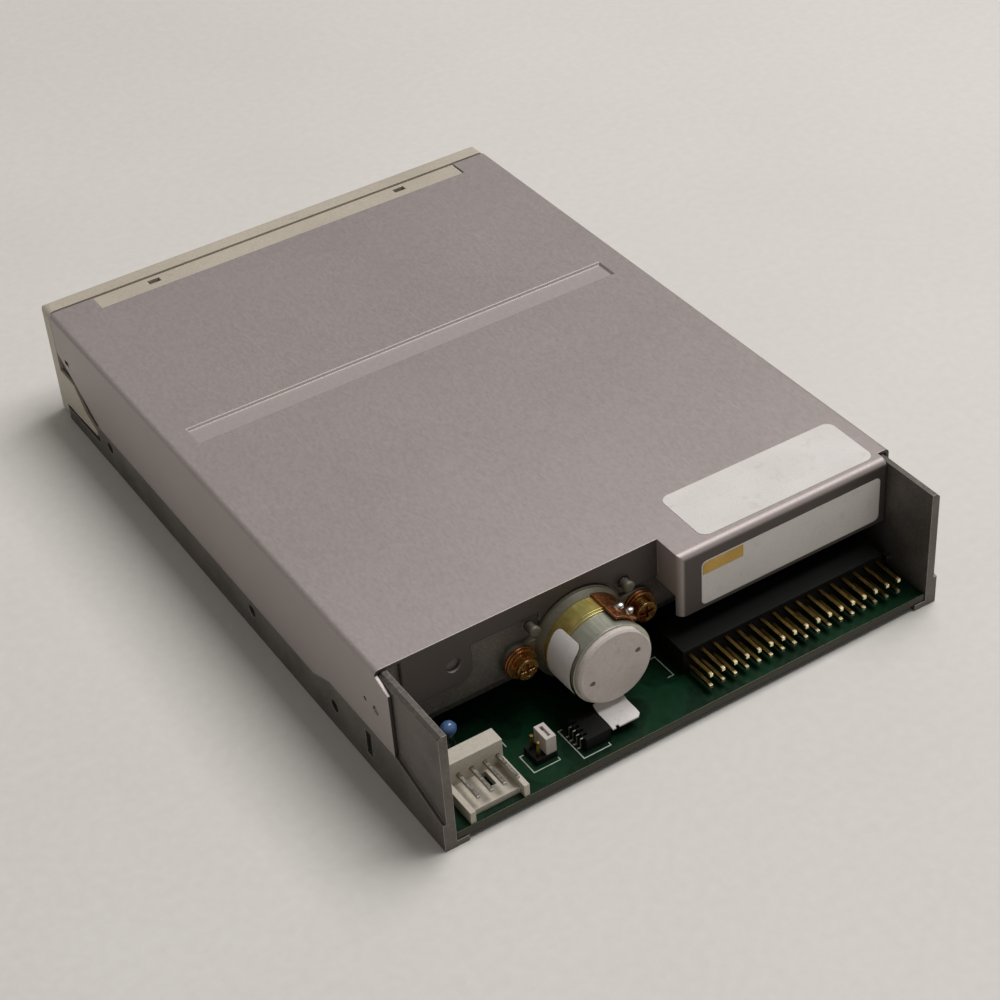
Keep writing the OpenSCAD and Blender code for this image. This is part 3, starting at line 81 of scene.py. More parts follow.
def add(tree, kind, inputs=(), **settings):
    """One shader node with its settings, and its sockets set or linked."""
    made = tree.nodes.new(kind)
    for name, value in settings.items():
        setattr(made, name, value)
    for socket, value in dict(inputs).items():
        if isinstance(value, bpy.types.NodeSocket):
            tree.links.new(value, made.inputs[socket])
        else:
            made.inputs[socket].default_value = value
    return made


# Sockets of a Mix node that mixes colours: its share, its two colours and its result
MIX_SHARE, MIX_FROM, MIX_TO, MIX_RESULT = 0, 6, 7, 2


class Finish:
    """A material under way: its node tree, shader, object coordinates and present colour."""

    def __init__(self, name):
        self.material = bpy.data.materials.new(name)
        self.material.use_nodes = True
        self.tree = self.material.node_tree
        self.shader = self.tree.nodes["Principled BSDF"]
        self.place = self.add("ShaderNodeTexCoord").outputs["Object"]
        self.colour = None

    def add(self, kind, inputs=(), **settings):
        return add(self.tree, kind, inputs, **settings)

    def set(self, **sockets):
        """Shader sockets that are the same all over, or linked, with _ for a space in their names."""
        for name, value in sockets.items():
            socket = self.shader.inputs[name.replace("_", " ")]
            if isinstance(value, bpy.types.NodeSocket):
                self.tree.links.new(value, socket)
            else:
                socket.default_value = value
        return self

    def lay(self, value, span, code, most=1.0):
        """Lays a colour over the present one: none where a value starts its span, the most at its end."""
        share = self.add("ShaderNodeMapRange",
                         {"Value": value, "From Min": span[0], "From Max": span[1], "To Max": most})
        mixed = self.add("ShaderNodeMix", data_type="RGBA", inputs={
            MIX_SHARE: share.outputs[0], MIX_FROM: self.colour, MIX_TO: srgb(code)})
        self.colour = mixed.outputs[MIX_RESULT]
        return self.set(Base_Color=self.colour)

    def mottle(self, size_mm, detail, span, code, most=1.0):
        """Lays a colour in soft patches of a size, over the span of their noise."""
        noise = self.add("ShaderNodeTexNoise",
                         {"Vector": self.place, "Scale": per_mm(size_mm), "Detail": detail})
        return self.lay(noise.outputs[0], span, code, most)


# Spans of a surface's values: cloud and grain together from its first tone to its second, grain from
# smooth to rough, and the cosine between an edge and its face from the face's tone to the edge's, part wear,
# part painted highlight
TONE_SPAN = (0.72, 1.28)
GRAIN_SPAN = (0.3, 0.7)
EDGE_WEAR_AND_HIGHLIGHT_SPAN = (0.985, 0.8)
EDGE_SAMPLES = 6


def surface(name, tones, cloud_mm, grain_mm, rough, bump_mm,
            metal=0.0, drawn=(1, 1, 1), edge=None, edge_mm=0.2):
    """Two tones in soft clouds, a grain that roughens and raises the surface, and rounded edges that catch
    light, with an edge tone laid on as part wear, part painted highlight.
    """
    made = Finish(name)
    cloud = made.add("ShaderNodeTexNoise", {"Vector": made.place, "Scale": per_mm(cloud_mm), "Detail": 4.0})
    along = made.add("ShaderNodeMapping", {"Vector": made.place, "Scale": drawn})
    grain = made.add("ShaderNodeTexNoise",
                     {"Vector": along.outputs[0], "Scale": per_mm(grain_mm), "Detail": 3.0}).outputs[0]
    both = made.add("ShaderNodeMath", {0: cloud.outputs[0], 1: grain}, operation="ADD").outputs[0]
    share = made.add("ShaderNodeMapRange",
                     {"Value": both, "From Min": TONE_SPAN[0], "From Max": TONE_SPAN[1]})
    tone = made.add("ShaderNodeMix", data_type="RGBA", inputs={
        MIX_SHARE: share.outputs[0], MIX_FROM: srgb(tones[0]), MIX_TO: srgb(tones[1])})
    made.colour = tone.outputs[MIX_RESULT]
    roughness = made.add("ShaderNodeMapRange", {
        "Value": grain, "From Min": GRAIN_SPAN[0], "From Max": GRAIN_SPAN[1],
        "To Min": rough[0], "To Max": rough[1]})
    rounded = made.add("ShaderNodeBevel", {"Radius": edge_mm * MM}, samples=EDGE_SAMPLES).outputs[0]
    bump = made.add("ShaderNodeBump",
                    {"Strength": 1.0, "Distance": bump_mm * MM, "Height": grain, "Normal": rounded})
    made.set(Base_Color=made.colour, Metallic=metal, Roughness=roughness.outputs[0],
             Normal=bump.outputs["Normal"])
    # Edge tone laid where the rounded normal turns from the face: part wear, part painted highlight
    if edge:
        flat = made.add("ShaderNodeNewGeometry").outputs["Normal"]
        turned = made.add("ShaderNodeVectorMath", {0: rounded, 1: flat}, operation="DOT_PRODUCT")
        made.lay(turned.outputs["Value"], EDGE_WEAR_AND_HIGHLIGHT_SPAN, edge)
    return made


# Metals


def zinc_plated_sheet(name):
    """Zinc-plated steel sheet: satin warm grey, fine rolled grain, a few faint hairlines, edges painted
    brighter as part wear, part painted highlight.
    """
    made = surface(name, ("a09592", "aa9f9c"), cloud_mm=42, grain_mm=0.4, rough=(0.46, 0.54), bump_mm=0.002,
                   metal=0.45, drawn=(1, 0.4, 1), edge="cbc3bd", edge_mm=0.3)
    lines = made.add("ShaderNodeMapping",
                     {"Vector": made.place, "Rotation": (0, 0, 0.6), "Scale": (1, 0.02, 1)})
    hair = made.add("ShaderNodeTexNoise", {"Vector": lines.outputs[0], "Scale": per_mm(0.6), "Detail": 1.0})
    return made.lay(hair.outputs[0], (0.72, 0.8), "c9c1bb", most=0.15)


def cover_sheet_painted_light():
    """The same sheet on the cover, with painted shade on its rear-facing bends and a painted highlight on its
    rib's floor.
    """
    made = zinc_plated_sheet("zinc_plated_cover_painted_light")
    normal = made.add("ShaderNodeNewGeometry").outputs["Normal"]
    facing = made.add("ShaderNodeSeparateXYZ", {0: normal}).outputs
    # Painted shade: faces turned to the rear are darkened almost to a dark grey
    made.lay(facing["Y"], (0.85, 0.98), "3f3934", most=0.9)
    # Painted highlight: upward faces sunk below the cover's top, the rib's floor, are laid paler
    height = made.add("ShaderNodeSeparateXYZ", {0: made.place}).outputs["Z"]
    below_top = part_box("top_cover")[1].z - 0.3 * MM
    sunk = made.add("ShaderNodeMath", {0: height, 1: below_top}, operation="LESS_THAN").outputs[0]
    rib_floor_highlight = made.add("ShaderNodeMath", {0: sunk, 1: facing["Z"]}, operation="MULTIPLY").outputs[0]
    return made.lay(rib_floor_highlight, (0.9, 0.97), "b4a9a6", most=0.8).material


def cast_aluminium():
    """Die-cast aluminium: dull dark grey with a granular skin, and bright edges, part bare metal where it was
    trimmed and part painted highlight.
    """
    made = surface("die_cast_aluminium", ("5a5550", "77716a"), cloud_mm=7, grain_mm=0.5, rough=(0.42, 0.62),
                   bump_mm=0.03, metal=0.6, edge="b9b3aa", edge_mm=0.22)
    skin = made.add("ShaderNodeTexVoronoi", {"Vector": made.place, "Scale": per_mm(0.9)}).outputs["Distance"]
    return made.lay(skin, (0.35, 0.05), "8f8a83", most=0.35).material


def ground_steel():
    """Ground and turned steel: bright and smooth, with a soft satin sheen."""
    return surface("ground_steel", ("a5a29c", "b9b6af"), cloud_mm=4, grain_mm=0.25, rough=(0.28, 0.34),
                   bump_mm=0.0004, metal=1.0, drawn=(1, 1, 0.3), edge="dedbd4", edge_mm=0.08).material


def spring_wire():
    """Drawn spring steel wire: dark bright grey, finely mottled."""
    return surface("drawn_spring_wire", ("8b8983", "b1aea7"), cloud_mm=1.5, grain_mm=0.2,
                   rough=(0.22, 0.36), bump_mm=0.003, metal=1.0).material


def yellow_zinc():
    """Yellow-passivated zinc: olive gold that drifts to green and rose, over a satin pressing."""
    made = surface("yellow_passivated_zinc", ("b19c4c", "d6c174"), cloud_mm=5, grain_mm=0.6,
                   rough=(0.3, 0.36), bump_mm=0.0005, metal=0.8, drawn=(1, 0.3, 1),
                   edge="e2d59c", edge_mm=0.05)
    made.mottle(6, 1.0, (0.5, 0.75), "a09f60")
    return made.mottle(6, 1.0, (0.45, 0.25), "a9854f").material


def motor_can_steel():
    """Zinc-plated deep-drawn can: pale grey-green, drawn lines along the axis."""
    return surface("drawn_zinc_can", ("abab9b", "c4c3b2"), cloud_mm=6, grain_mm=0.5, rough=(0.3, 0.36),
                   bump_mm=0.0005, metal=0.8, drawn=(1, 0.15, 1), edge="ece8dd", edge_mm=0.08).material


def flange_steel():
    """Zinc-plated pressing with a dull passivated skin: dark warm grey, soft sheen."""
    return surface("dull_zinc_pressing", ("5d594c", "706b5b"), cloud_mm=5, grain_mm=0.4,
                   rough=(0.5, 0.58), bump_mm=0.0005, metal=0.4).material


def gold_plate(name, tones, tip=None):
    """Gold-plated bronze: yellow, a little dull, and on the signal pins a painted highlight at the cut tips.
    """
    made = surface(name, tones, cloud_mm=2.5, grain_mm=0.5, rough=(0.26, 0.36), bump_mm=0.0005,
                   metal=1.0, drawn=(1, 0.2, 1), edge="e6cf92", edge_mm=0.06)
    if tip:
        # Painted highlight: the last stretch of each pin towards its rear tip is laid pale and bright
        along = made.add("ShaderNodeSeparateXYZ", {0: made.place}).outputs["Y"]
        made.lay(along, (tip - 0.7 * MM, tip - 0.35 * MM), "f3e3b4")
    return made.material


def tin_plate():
    """Tin-plated brass: soft grey-white metal with bright edges, part wear and part painted highlight."""
    return surface("tin_plated_brass", ("8a867d", "b3afa5"), cloud_mm=2.0, grain_mm=0.5,
                   rough=(0.26, 0.4), bump_mm=0.001, metal=1.0, edge="e2dfd6", edge_mm=0.1).material


def copper_alloy():
    """Bare copper alloy: red-brown with brighter rubbed patches and darker tarnish."""
    made = surface("bare_copper_alloy", ("8a5230", "c07e52"), cloud_mm=1.6, grain_mm=0.3,
                   rough=(0.24, 0.42), bump_mm=0.004, metal=1.0, edge="e3ab82", edge_mm=0.12)
    return made.mottle(1.1, 3.0, (0.56, 0.72), "5b3a27").material


def screw_brass():
    """Brass screws: golden heads with pale rims, part rubbing and part painted highlight, and reddish brown
    patches.
    """
    made = surface("turned_brass", ("9a7038", "c99c5c"), cloud_mm=1.8, grain_mm=0.3, rough=(0.22, 0.4),
                   bump_mm=0.003, metal=1.0, edge="e8c48e", edge_mm=0.12)
    return made.mottle(2.6, 2.0, (0.48, 0.66), "8a4a2a").material


def winding_wire():
    """Enamelled copper winding: red-brown with a lacquer gloss."""
    made = surface("enamelled_copper_winding", ("7c4324", "a8643a"), cloud_mm=3, grain_mm=0.3,
                   rough=(0.25, 0.4), bump_mm=0.01, metal=0.9)
    return made.set(Coat_Weight=0.4, Coat_Roughness=0.15).material


def sintered_magnet():
    """Sintered ferrite: dark grey, dry and finely pitted."""
    return surface("sintered_ferrite", ("34322f", "4a4743"), cloud_mm=4, grain_mm=0.2, rough=(0.5, 0.7),
                   bump_mm=0.01, metal=0.2).material


def solder():
    """Solder: bright soft grey with a frosty skin."""
    return surface("tin_lead_solder", ("a9a9a4", "cfcec8"), cloud_mm=1.2, grain_mm=0.25,
                   rough=(0.2, 0.36), bump_mm=0.006, metal=1.0).material


# Plastics, boards and paper


def moulded_cream(name, tones):
    """Moulded plastic: warm pale shell with a fine spark-eroded grain, a little grubby in patches."""
    made = surface(name, tones, cloud_mm=22, grain_mm=0.35, rough=(0.42, 0.56), bump_mm=0.012,
                   edge="d6cdbd", edge_mm=0.25)
    return made.mottle(3.5, 5.0, (0.6, 0.8), "8d8272", most=0.3).material


def moulded_white(name, tones):
    """Moulded nylon or film: matte off-white with faint pinkish handling marks."""
    made = surface(name, tones, cloud_mm=5, grain_mm=0.25, rough=(0.5, 0.64), bump_mm=0.006, edge="e6e0da")
    return made.mottle(1.4, 4.0, (0.58, 0.78), "988a82", most=0.35).material


def moulded_black():
    """Glass-filled black nylon: near-black and dry, with a fine grain and grey corners, part rubbing and part
    painted highlight.
    """
    made = surface("glass_filled_black_nylon", ("080807", "0f0e0d"), cloud_mm=4, grain_mm=0.22,
                   rough=(0.5, 0.66), bump_mm=0.006, edge="282623", edge_mm=0.08)
    return made.set(Specular_IOR_Level=0.22).material


def carriage_resin():
    """Mineral-filled resin of the head carriage: dark grey, smooth and slightly waxy."""
    return surface("mineral_filled_resin", ("3f3e3b", "54524e"), cloud_mm=6, grain_mm=0.25,
                   rough=(0.38, 0.52), bump_mm=0.008, edge="75726c").material


def solder_mask(name, tones, copper_tone, edge_tone, rim_highlight_tone):
    """Solder mask over copper: smooth and glossy, barely lighter over copper, with a bare edge of fibre in a
    given tone and a rim tone laid on as painted highlight.
    """
    made = surface(name, tones, cloud_mm=14, grain_mm=1.5, rough=(0.22, 0.27), bump_mm=0.0002,
                   edge=rim_highlight_tone, edge_mm=0.14)
    made.set(Specular_IOR_Level=0.3)
    made.mottle(9, 0.0, (0.5, 0.53), copper_tone, most=0.4)
    normal = made.add("ShaderNodeNewGeometry").outputs["Normal"]
    height = made.add("ShaderNodeSeparateXYZ", {0: normal}).outputs["Z"]
    upright = made.add("ShaderNodeMath", {0: height}, operation="ABSOLUTE").outputs[0]
    # The board's cut sides take the edge tone, which on the main board is darkened as painted shade
    return made.lay(upright, (0.6, 0.3), edge_tone).material


def dipped_epoxy():
    """Dipped epoxy: glossy grey-blue bead with a soft sag in its surface."""
    made = surface("dipped_blue_epoxy", ("4d6c9f", "6585b5"), cloud_mm=2, grain_mm=0.6,
                   rough=(0.14, 0.24), bump_mm=0.02)
    return made.set(Coat_Weight=0.6, Coat_Roughness=0.08).material


def lamp_lens():
    """Tinted clear acrylic: pale green lamp lens, smooth, with light held inside."""
    made = surface("tinted_clear_acrylic", ("6f9659", "86ad6d"), cloud_mm=3, grain_mm=0.3,
                   rough=(0.12, 0.2), bump_mm=0.003)
    return made.set(Transmission_Weight=0.35, IOR=1.49).material


def polyimide_film():
    """Polyimide film over copper lines: amber, glossy, with fine conductors about 1 mm apart."""
    made = surface("polyimide_film", ("87561f", "a56f2c"), cloud_mm=5, grain_mm=0.4, rough=(0.2, 0.3),
                   bump_mm=0.003)
    bands_per_scale = math.pi
    lines = made.add("ShaderNodeTexWave", {"Vector": made.place, "Scale": per_mm(1.0) / bands_per_scale},
                     bands_direction="X")
    return made.lay(lines.outputs[1], (0.55, 0.7), "6d3f1d").material


def label_paper():
    """Coated label paper: off-white, faintly fibrous, a little greyed by handling."""
    made = surface("coated_label_paper", ("d2ccc7", "ded9d4"), cloud_mm=9, grain_mm=0.3,
                   rough=(0.5, 0.62), bump_mm=0.004)
    return made.mottle(2.2, 5.0, (0.58, 0.8), "a89f97", most=0.3).material


def printed_ochre():
    """Ochre ink on label paper: warm flat field with the paper's fibre showing through."""
    return surface("ochre_ink", ("c0953a", "d6ae55"), cloud_mm=3, grain_mm=0.3, rough=(0.45, 0.58),
                   bump_mm=0.004).material


def legend_ink():
    """Epoxy legend ink on a board: chalky white with thin spots."""
    return surface("legend_ink", ("a9b0a4", "d3d7cd"), cloud_mm=1.2, grain_mm=0.25, rough=(0.55, 0.7),
                   bump_mm=0.006).material


def floor_paint():
    """Matt painted board: plain pale backdrop for the object."""
    return surface("matt_pale_floor", ("d6d2cb", "dcd8d2"), cloud_mm=90, grain_mm=2.0,
                   rough=(0.75, 0.85), bump_mm=0.01).material


COVER_PAINTED_LIGHT = cover_sheet_painted_light()
ZINC = zinc_plated_sheet("zinc_plated_sheet_steel").material
CAST = cast_aluminium()
STEEL = ground_steel()
WIRE = spring_wire()
YELLOW = yellow_zinc()
CAN = motor_can_steel()
FLANGE = flange_steel()
GOLD = gold_plate("gold_plated_bronze", ("9a7632", "c8a253"))
# Painted shade: the signal pins' gold is darkened to brown, standing for the dark bay it reflects
PIN_GOLD_PAINTED_LIGHT = gold_plate("gold_plated_pins_painted_light", ("4f3f1d", "735d32"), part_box("signal_pins")[1].y)
TIN = tin_plate()
COPPER = copper_alloy()
BRASS = screw_brass()
WINDING = winding_wire()
MAGNET = sintered_magnet()
SOLDER = solder()
CREAM = moulded_cream("moulded_cream_abs", ("b0a696", "c2b8a8"))
SOCKET = moulded_cream("moulded_natural_nylon", ("aca393", "c4bcad"))
WHITE = moulded_white("moulded_white_nylon", ("bdb2aa", "d0c7c0"))
SHEET = moulded_white("white_coated_film", ("d0cbc6", "dcd8d3"))
BLACK = moulded_black()
RESIN = carriage_resin()
# Painted shade: the main board's greens and its fibre edge tone are darkened below their own colour; its rim
# tone is a painted highlight
BOARD_PAINTED_LIGHT = solder_mask("green_solder_mask_painted_light", ("071d10", "0b2a18"), "113822", "302e1b", "8b8a5c")
MOTOR_BOARD = solder_mask("lacquered_steel_board", ("1d2f25", "2a4034"), "35493d", "77746c", "8b8f86")
BLUE = dipped_epoxy()
LENS = lamp_lens()
FILM = polyimide_film()
PAPER = label_paper()
OCHRE = printed_ochre()
INK = legend_ink()

NODE_FINISH = {
    CAST: ("frame", "side_walls"),
    COVER_PAINTED_LIGHT: ("top_cover",),
    ZINC: ("slide_plate", "disk_holder", "shutter_lever", "rotor_pan"),
    CREAM: ("front_bezel", "dust_door", "eject_button"),
    SOCKET: ("power_socket",),
    STEEL: ("holder_rollers", "lever_rivet", "spindle_hub", "drive_pin", "lead_screw", "guide_rods",
            "follower_needle", "arm_pin"),
    YELLOW: ("board_screws", "stepper_front_cup"),
    FLANGE: ("stepper_flange",),
    CAN: ("stepper_rear_cup",),
    PIN_GOLD_PAINTED_LIGHT: ("signal_pins",),
    GOLD: ("jumper_pins", "spindle_bearing"),
    TIN: ("power_pins",),
    COPPER: ("stepper_clip",),
    BRASS: ("stepper_screws",),
    WINDING: ("stator",),
    MAGNET: ("rotor_magnet", "stepper_rotor"),
    WHITE: ("stepper_end_cap", "jumper_cap", "write_protect_plunger", "disk_in_plunger", "density_plunger"),
    BLACK: ("lower_head", "upper_head", "track_sensor", "signal_header", "jumper_header", "option_header",
            "board_chips", "switch_bodies"),
    RESIN: ("head_carriage", "upper_arm"),
    BOARD_PAINTED_LIGHT: ("main_board", "front_board"),
    MOTOR_BOARD: ("motor_board",),
    LENS: ("activity_led", "led_window"),
}
for material, names in NODE_FINISH.items():
    for name in names:
        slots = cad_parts[name].data.materials
        slots.clear()
        slots.append(material)


# Modelling helpers

PARALLEL = 0.9  # least cosine between directions that count as one
SQUARE = 0.1  # most cosine between directions that count as square
NEAR = 0.01 * MM  # reach within which places count as one
SMOOTH_ANGLE = math.radians(35)

AXIS_TURN = {"X": (0, math.pi / 2, 0), "Y": (-math.pi / 2, 0, 0), "Z": (0, 0, 0)}
AXIS_WAY = {"X": Vector((1, 0, 0)), "Y": Vector((0, 1, 0)), "Z": Vector((0, 0, 1))}


def only(piece):
    """Leaves one piece selected and active, out of edit mode."""
    if bpy.context.object and bpy.context.object.mode == "EDIT":
        bpy.ops.object.mode_set(mode="OBJECT")
    bpy.ops.object.select_all(action="DESELECT")
    if piece:
        piece.select_set(True)
        bpy.context.view_layer.objects.active = piece


def begun(name):
    """Names a primitive that was just added, with its place put in its mesh."""
    piece = bpy.context.object
    piece.name = name
    bpy.ops.object.transform_apply(location=True, rotation=True, scale=True)
    return piece


def block(name, low, high):
    """A box between two corners, the start of a piece."""
    only(None)
    low, high = Vector(low), Vector(high)
    bpy.ops.mesh.primitive_cube_add(size=1, location=(low + high) / 2, scale=high - low)
    return begun(name)


def flat_sheet(name, middle, size, lying=AXIS_TURN["Z"]):
    """A flat rectangle about its middle, the start of a pressed or spun piece."""
    only(None)
    bpy.ops.mesh.primitive_plane_add(size=1, rotation=lying, location=middle)
    bpy.context.object.scale = (*size, 1)
    return begun(name)


def rod(name, foot, radius, length, axis, sides=24):
    """A round bar that starts at its foot and runs along an axis, the start of a turned piece."""
    only(None)
    bpy.ops.mesh.primitive_cylinder_add(vertices=sides, radius=radius, depth=length, rotation=AXIS_TURN[axis],
                                        location=Vector(foot) + AXIS_WAY[axis] * length / 2)
    return begun(name)


def ball(name, middle, radii):
    """A ball or a flattened one, the start of a dipped or soldered lump."""
    only(None)
    bpy.ops.mesh.primitive_uv_sphere_add(segments=24, ring_count=16, radius=1, location=middle, scale=radii)
    return begun(name)


def pick(piece, kind, test):
    """Opens a piece for editing, with the corners, edges or faces that pass a test selected."""
    only(piece)
    bpy.ops.object.mode_set(mode="EDIT")
    bpy.ops.mesh.select_mode(type=kind)
    bpy.ops.mesh.select_all(action="DESELECT")
    bpy.ops.object.mode_set(mode="OBJECT")
    mesh = piece.data
    if kind == "FACE":
        for face in mesh.polygons:
            face.select = test(face.center, face.normal)
    elif kind == "EDGE":
        for edge in mesh.edges:
            a, b = (mesh.vertices[i].co for i in edge.vertices)
            edge.select = test((a + b) / 2, (b - a).normalized())
    else:
        for corner in mesh.vertices:
            corner.select = test(corner.co)
    bpy.ops.object.mode_set(mode="EDIT")


def everywhere(*place):
    """A test that takes all of a piece."""
    return True


def round_edges(piece, width, steps, test=everywhere):
    """Bevels the edges that pass a test."""
    pick(piece, "EDGE", test)
    bpy.ops.mesh.bevel(offset=width, segments=steps, profile=0.5, affect="EDGES")
    bpy.ops.object.mode_set(mode="OBJECT")


def round_corners(piece, radius, steps, test=everywhere):
    """Bevels the corners of a flat piece that pass a test."""
    pick(piece, "VERT", test)
    bpy.ops.mesh.bevel(offset=radius, segments=steps, affect="VERTICES")
    bpy.ops.object.mode_set(mode="OBJECT")


def draw_out(piece, by, test):
    """Extrudes the faces that pass a test."""
    pick(piece, "FACE", test)
    bpy.ops.mesh.extrude_region_move(TRANSFORM_OT_translate={"value": by})
    bpy.ops.object.mode_set(mode="OBJECT")


def cut_across(piece, at, way):
    """Cuts a line round a piece where a plane meets it."""
    pick(piece, "FACE", everywhere)
    bpy.ops.mesh.bisect(plane_co=at, plane_no=way)
    bpy.ops.object.mode_set(mode="OBJECT")


def slice_up(piece, low, high, count, axis):
    """Cuts lines across a piece at equal steps along an axis, so that it can bend."""
    way = AXIS_WAY[axis]
    for i in range(1, count):
        cut_across(piece, way * (low + (high - low) * i / count), way)


def shift(piece, by, test):
    """Moves the corners that pass a test."""
    pick(piece, "VERT", test)
    bpy.ops.transform.translate(value=by)
    bpy.ops.object.mode_set(mode="OBJECT")


def swell(piece, factors, middle, test):
    """Scales the corners that pass a test about a point."""
    pick(piece, "VERT", test)
    bpy.ops.transform.resize(value=factors, center_override=middle)
    bpy.ops.object.mode_set(mode="OBJECT")


def turn(piece, angle, axis, middle):
    """Turns a piece's mesh about an axis through a point."""
    pick(piece, "FACE", everywhere)
    bpy.ops.transform.rotate(value=angle, orient_axis=axis, center_override=middle)
    bpy.ops.object.mode_set(mode="OBJECT")


def face_outwards():
    """Turns every face of the piece that is open for editing outwards, and ends the editing."""
    bpy.ops.mesh.select_all(action="SELECT")
    bpy.ops.mesh.normals_make_consistent(inside=False)
    bpy.ops.object.mode_set(mode="OBJECT")


def finish_with(piece, kind, **settings):
    """Adds a modifier and applies it."""
    only(piece)
    change = piece.modifiers.new(kind.lower(), kind)
    for name, value in settings.items():
        setattr(change, name, value)
    bpy.ops.object.modifier_apply(modifier=change.name)


def press_onto(sheet, former, axis, thickness):
    """Presses a flat sheet along an axis onto a former, which is then removed, and thickens it."""
    finish_with(sheet, "SHRINKWRAP", target=former, wrap_method="PROJECT", use_negative_direction=True,
                use_positive_direction=True, **{"use_project_" + axis.lower(): True})
    bpy.data.objects.remove(former)
    finish_with(sheet, "SOLIDIFY", thickness=thickness, offset=1.0)


def join(piece, others):
    """Joins other pieces to one."""
    only(piece)
    for other in others:
        other.select_set(True)
    bpy.ops.object.join()
    return piece


def copies(piece, steps):
    """Copies a piece by each step, every copy with its own mesh, and joins them to it."""
    made = []
    for step in steps:
        only(piece)
        bpy.ops.object.duplicate()
        other = bpy.context.object
        other.location = step
        bpy.ops.object.transform_apply(location=True, rotation=True, scale=True)
        made.append(other)
    return join(piece, made)


def settle(piece, material, body="chassis", replaces=()):
    """Finishes a piece: shading, material, the body that it rides on and the nodes that it stands for."""
    only(piece)
    bpy.ops.object.shade_smooth_by_angle(angle=SMOOTH_ANGLE)
    piece.data.materials.clear()
    piece.data.materials.append(material)
    if body:
        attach(piece, body)
    if replaces:
        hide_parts(*replaces)


# Labels, left bare

cover_low, cover_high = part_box("top_cover")
LABEL_T = 0.05 * MM


def top_label():
    """Paper label near the cover's rear right corner, a little askew, with round corners."""
    length, depth, rounding = 36.9 * MM, 12.8 * MM, 1.8 * MM
    from_right, from_rear, askew = 21.95 * MM, 8.5 * MM, math.radians(0.5)
    middle = Vector((cover_low.x + from_right, cover_high.y - from_rear, cover_high.z))
    corner = Vector((length / 2, depth / 2, 0))
    label = block("top_label", middle - corner, middle + corner + Vector((0, 0, LABEL_T)))
    round_edges(label, rounding, 6, lambda at, way: abs(way.z) > PARALLEL)
    turn(label, askew, "Z", middle)
    settle(label, PAPER)


def rear_label():
    """Paper label on the rear flange, with an ochre field at its upper left."""
    right, left = cover_low.x + 3.9 * MM, cover_low.x + 42.4 * MM
    low, high = cover_high.z - 12.4 * MM, cover_high.z - 3.0 * MM
    wall = cover_high.y
    label = block("rear_label", (right, wall, low), (left, wall + LABEL_T, high))
    round_edges(label, 1.0 * MM, 6, lambda at, way: abs(way.y) > PARALLEL)
    settle(label, PAPER)
    field_length, field_height, margin, rounding = 8.7 * MM, 2.8 * MM, 0.25 * MM, 0.8 * MM
    field = block("rear_label_field", (left - field_length, wall + LABEL_T * 0.5, high - field_height),
                  (left - margin, wall + LABEL_T * 1.3, high - margin))
    round_edges(field, rounding, 5, lambda at, way: abs(way.y) > PARALLEL
                and at.z > high - 1 * MM and at.x > left - 1 * MM)
    settle(field, OCHRE)


# Head motor at the rear

front_cup_low, front_cup_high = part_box("stepper_front_cup")
rear_cup_low, rear_cup_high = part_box("stepper_rear_cup")
motor = (front_cup_low + front_cup_high) / 2
CUP_R = (front_cup_high.x - front_cup_low.x) / 2
CAN_R = CUP_R - 0.4 * MM
cup_joint = front_cup_high.y


def on_can(angle, y, radius):
    """A point on the motor's can at an angle in degrees above its left side."""
    turned = math.radians(angle)
    return Vector((motor.x + radius * math.cos(turned), y, motor.z + radius * math.sin(turned)))


def motor_sticker():
    """Paper sticker on the can's left side: cut flat, pressed onto both cups and given its thickness."""
    front, back = rear_cup_high.y - 7.3 * MM, rear_cup_high.y - 0.8 * MM
    low, high = motor.z - 4.3 * MM, motor.z + 5.9 * MM
    middle_y, clear = (front + back) / 2, CUP_R + 4 * MM
    sticker = flat_sheet("motor_sticker", (motor.x + clear, middle_y, (low + high) / 2),
                         (high - low, back - front), AXIS_TURN["X"])
    round_corners(sticker, 1.2 * MM, 6)
    slice_up(sticker, low, high, 26, "Z")
    slice_up(sticker, front, back, 5, "Y")
    only(None)
    bpy.ops.mesh.primitive_cone_add(vertices=96, radius1=CUP_R + 0.14 * MM, radius2=CAN_R + 0.36 * MM,
                                    depth=back - front + 2 * MM, rotation=AXIS_TURN["Y"],
                                    location=(motor.x, middle_y, motor.z))
    press_onto(sticker, begun("sticker_former"), "X", LABEL_T)
    settle(sticker, PAPER)


def turned_ring(name, inner, outer, front, back, rounding, taper=0.0):
    """A ring round the motor's axis: a section whose rear corner may slope in, rounded and spun."""
    ring = flat_sheet(name, (motor.x + (inner + outer) / 2, (front + back) / 2, motor.z),
                      (outer - inner, back - front))
    shift(ring, (-taper, 0, 0),
          lambda corner: corner.x > motor.x + outer - NEAR and corner.y > back - NEAR)
    round_corners(ring, rounding, 4)
    pick(ring, "VERT", everywhere)
    bpy.ops.mesh.delete(type="ONLY_FACE")
    bpy.ops.mesh.select_all(action="SELECT")
    bpy.ops.mesh.spin(steps=120, angle=math.tau, center=motor, axis=AXIS_WAY["Y"])
    bpy.ops.mesh.select_all(action="SELECT")
    bpy.ops.mesh.remove_doubles(threshold=NEAR / 5)
    bpy.ops.mesh.delete_loose()
    face_outwards()
    return ring


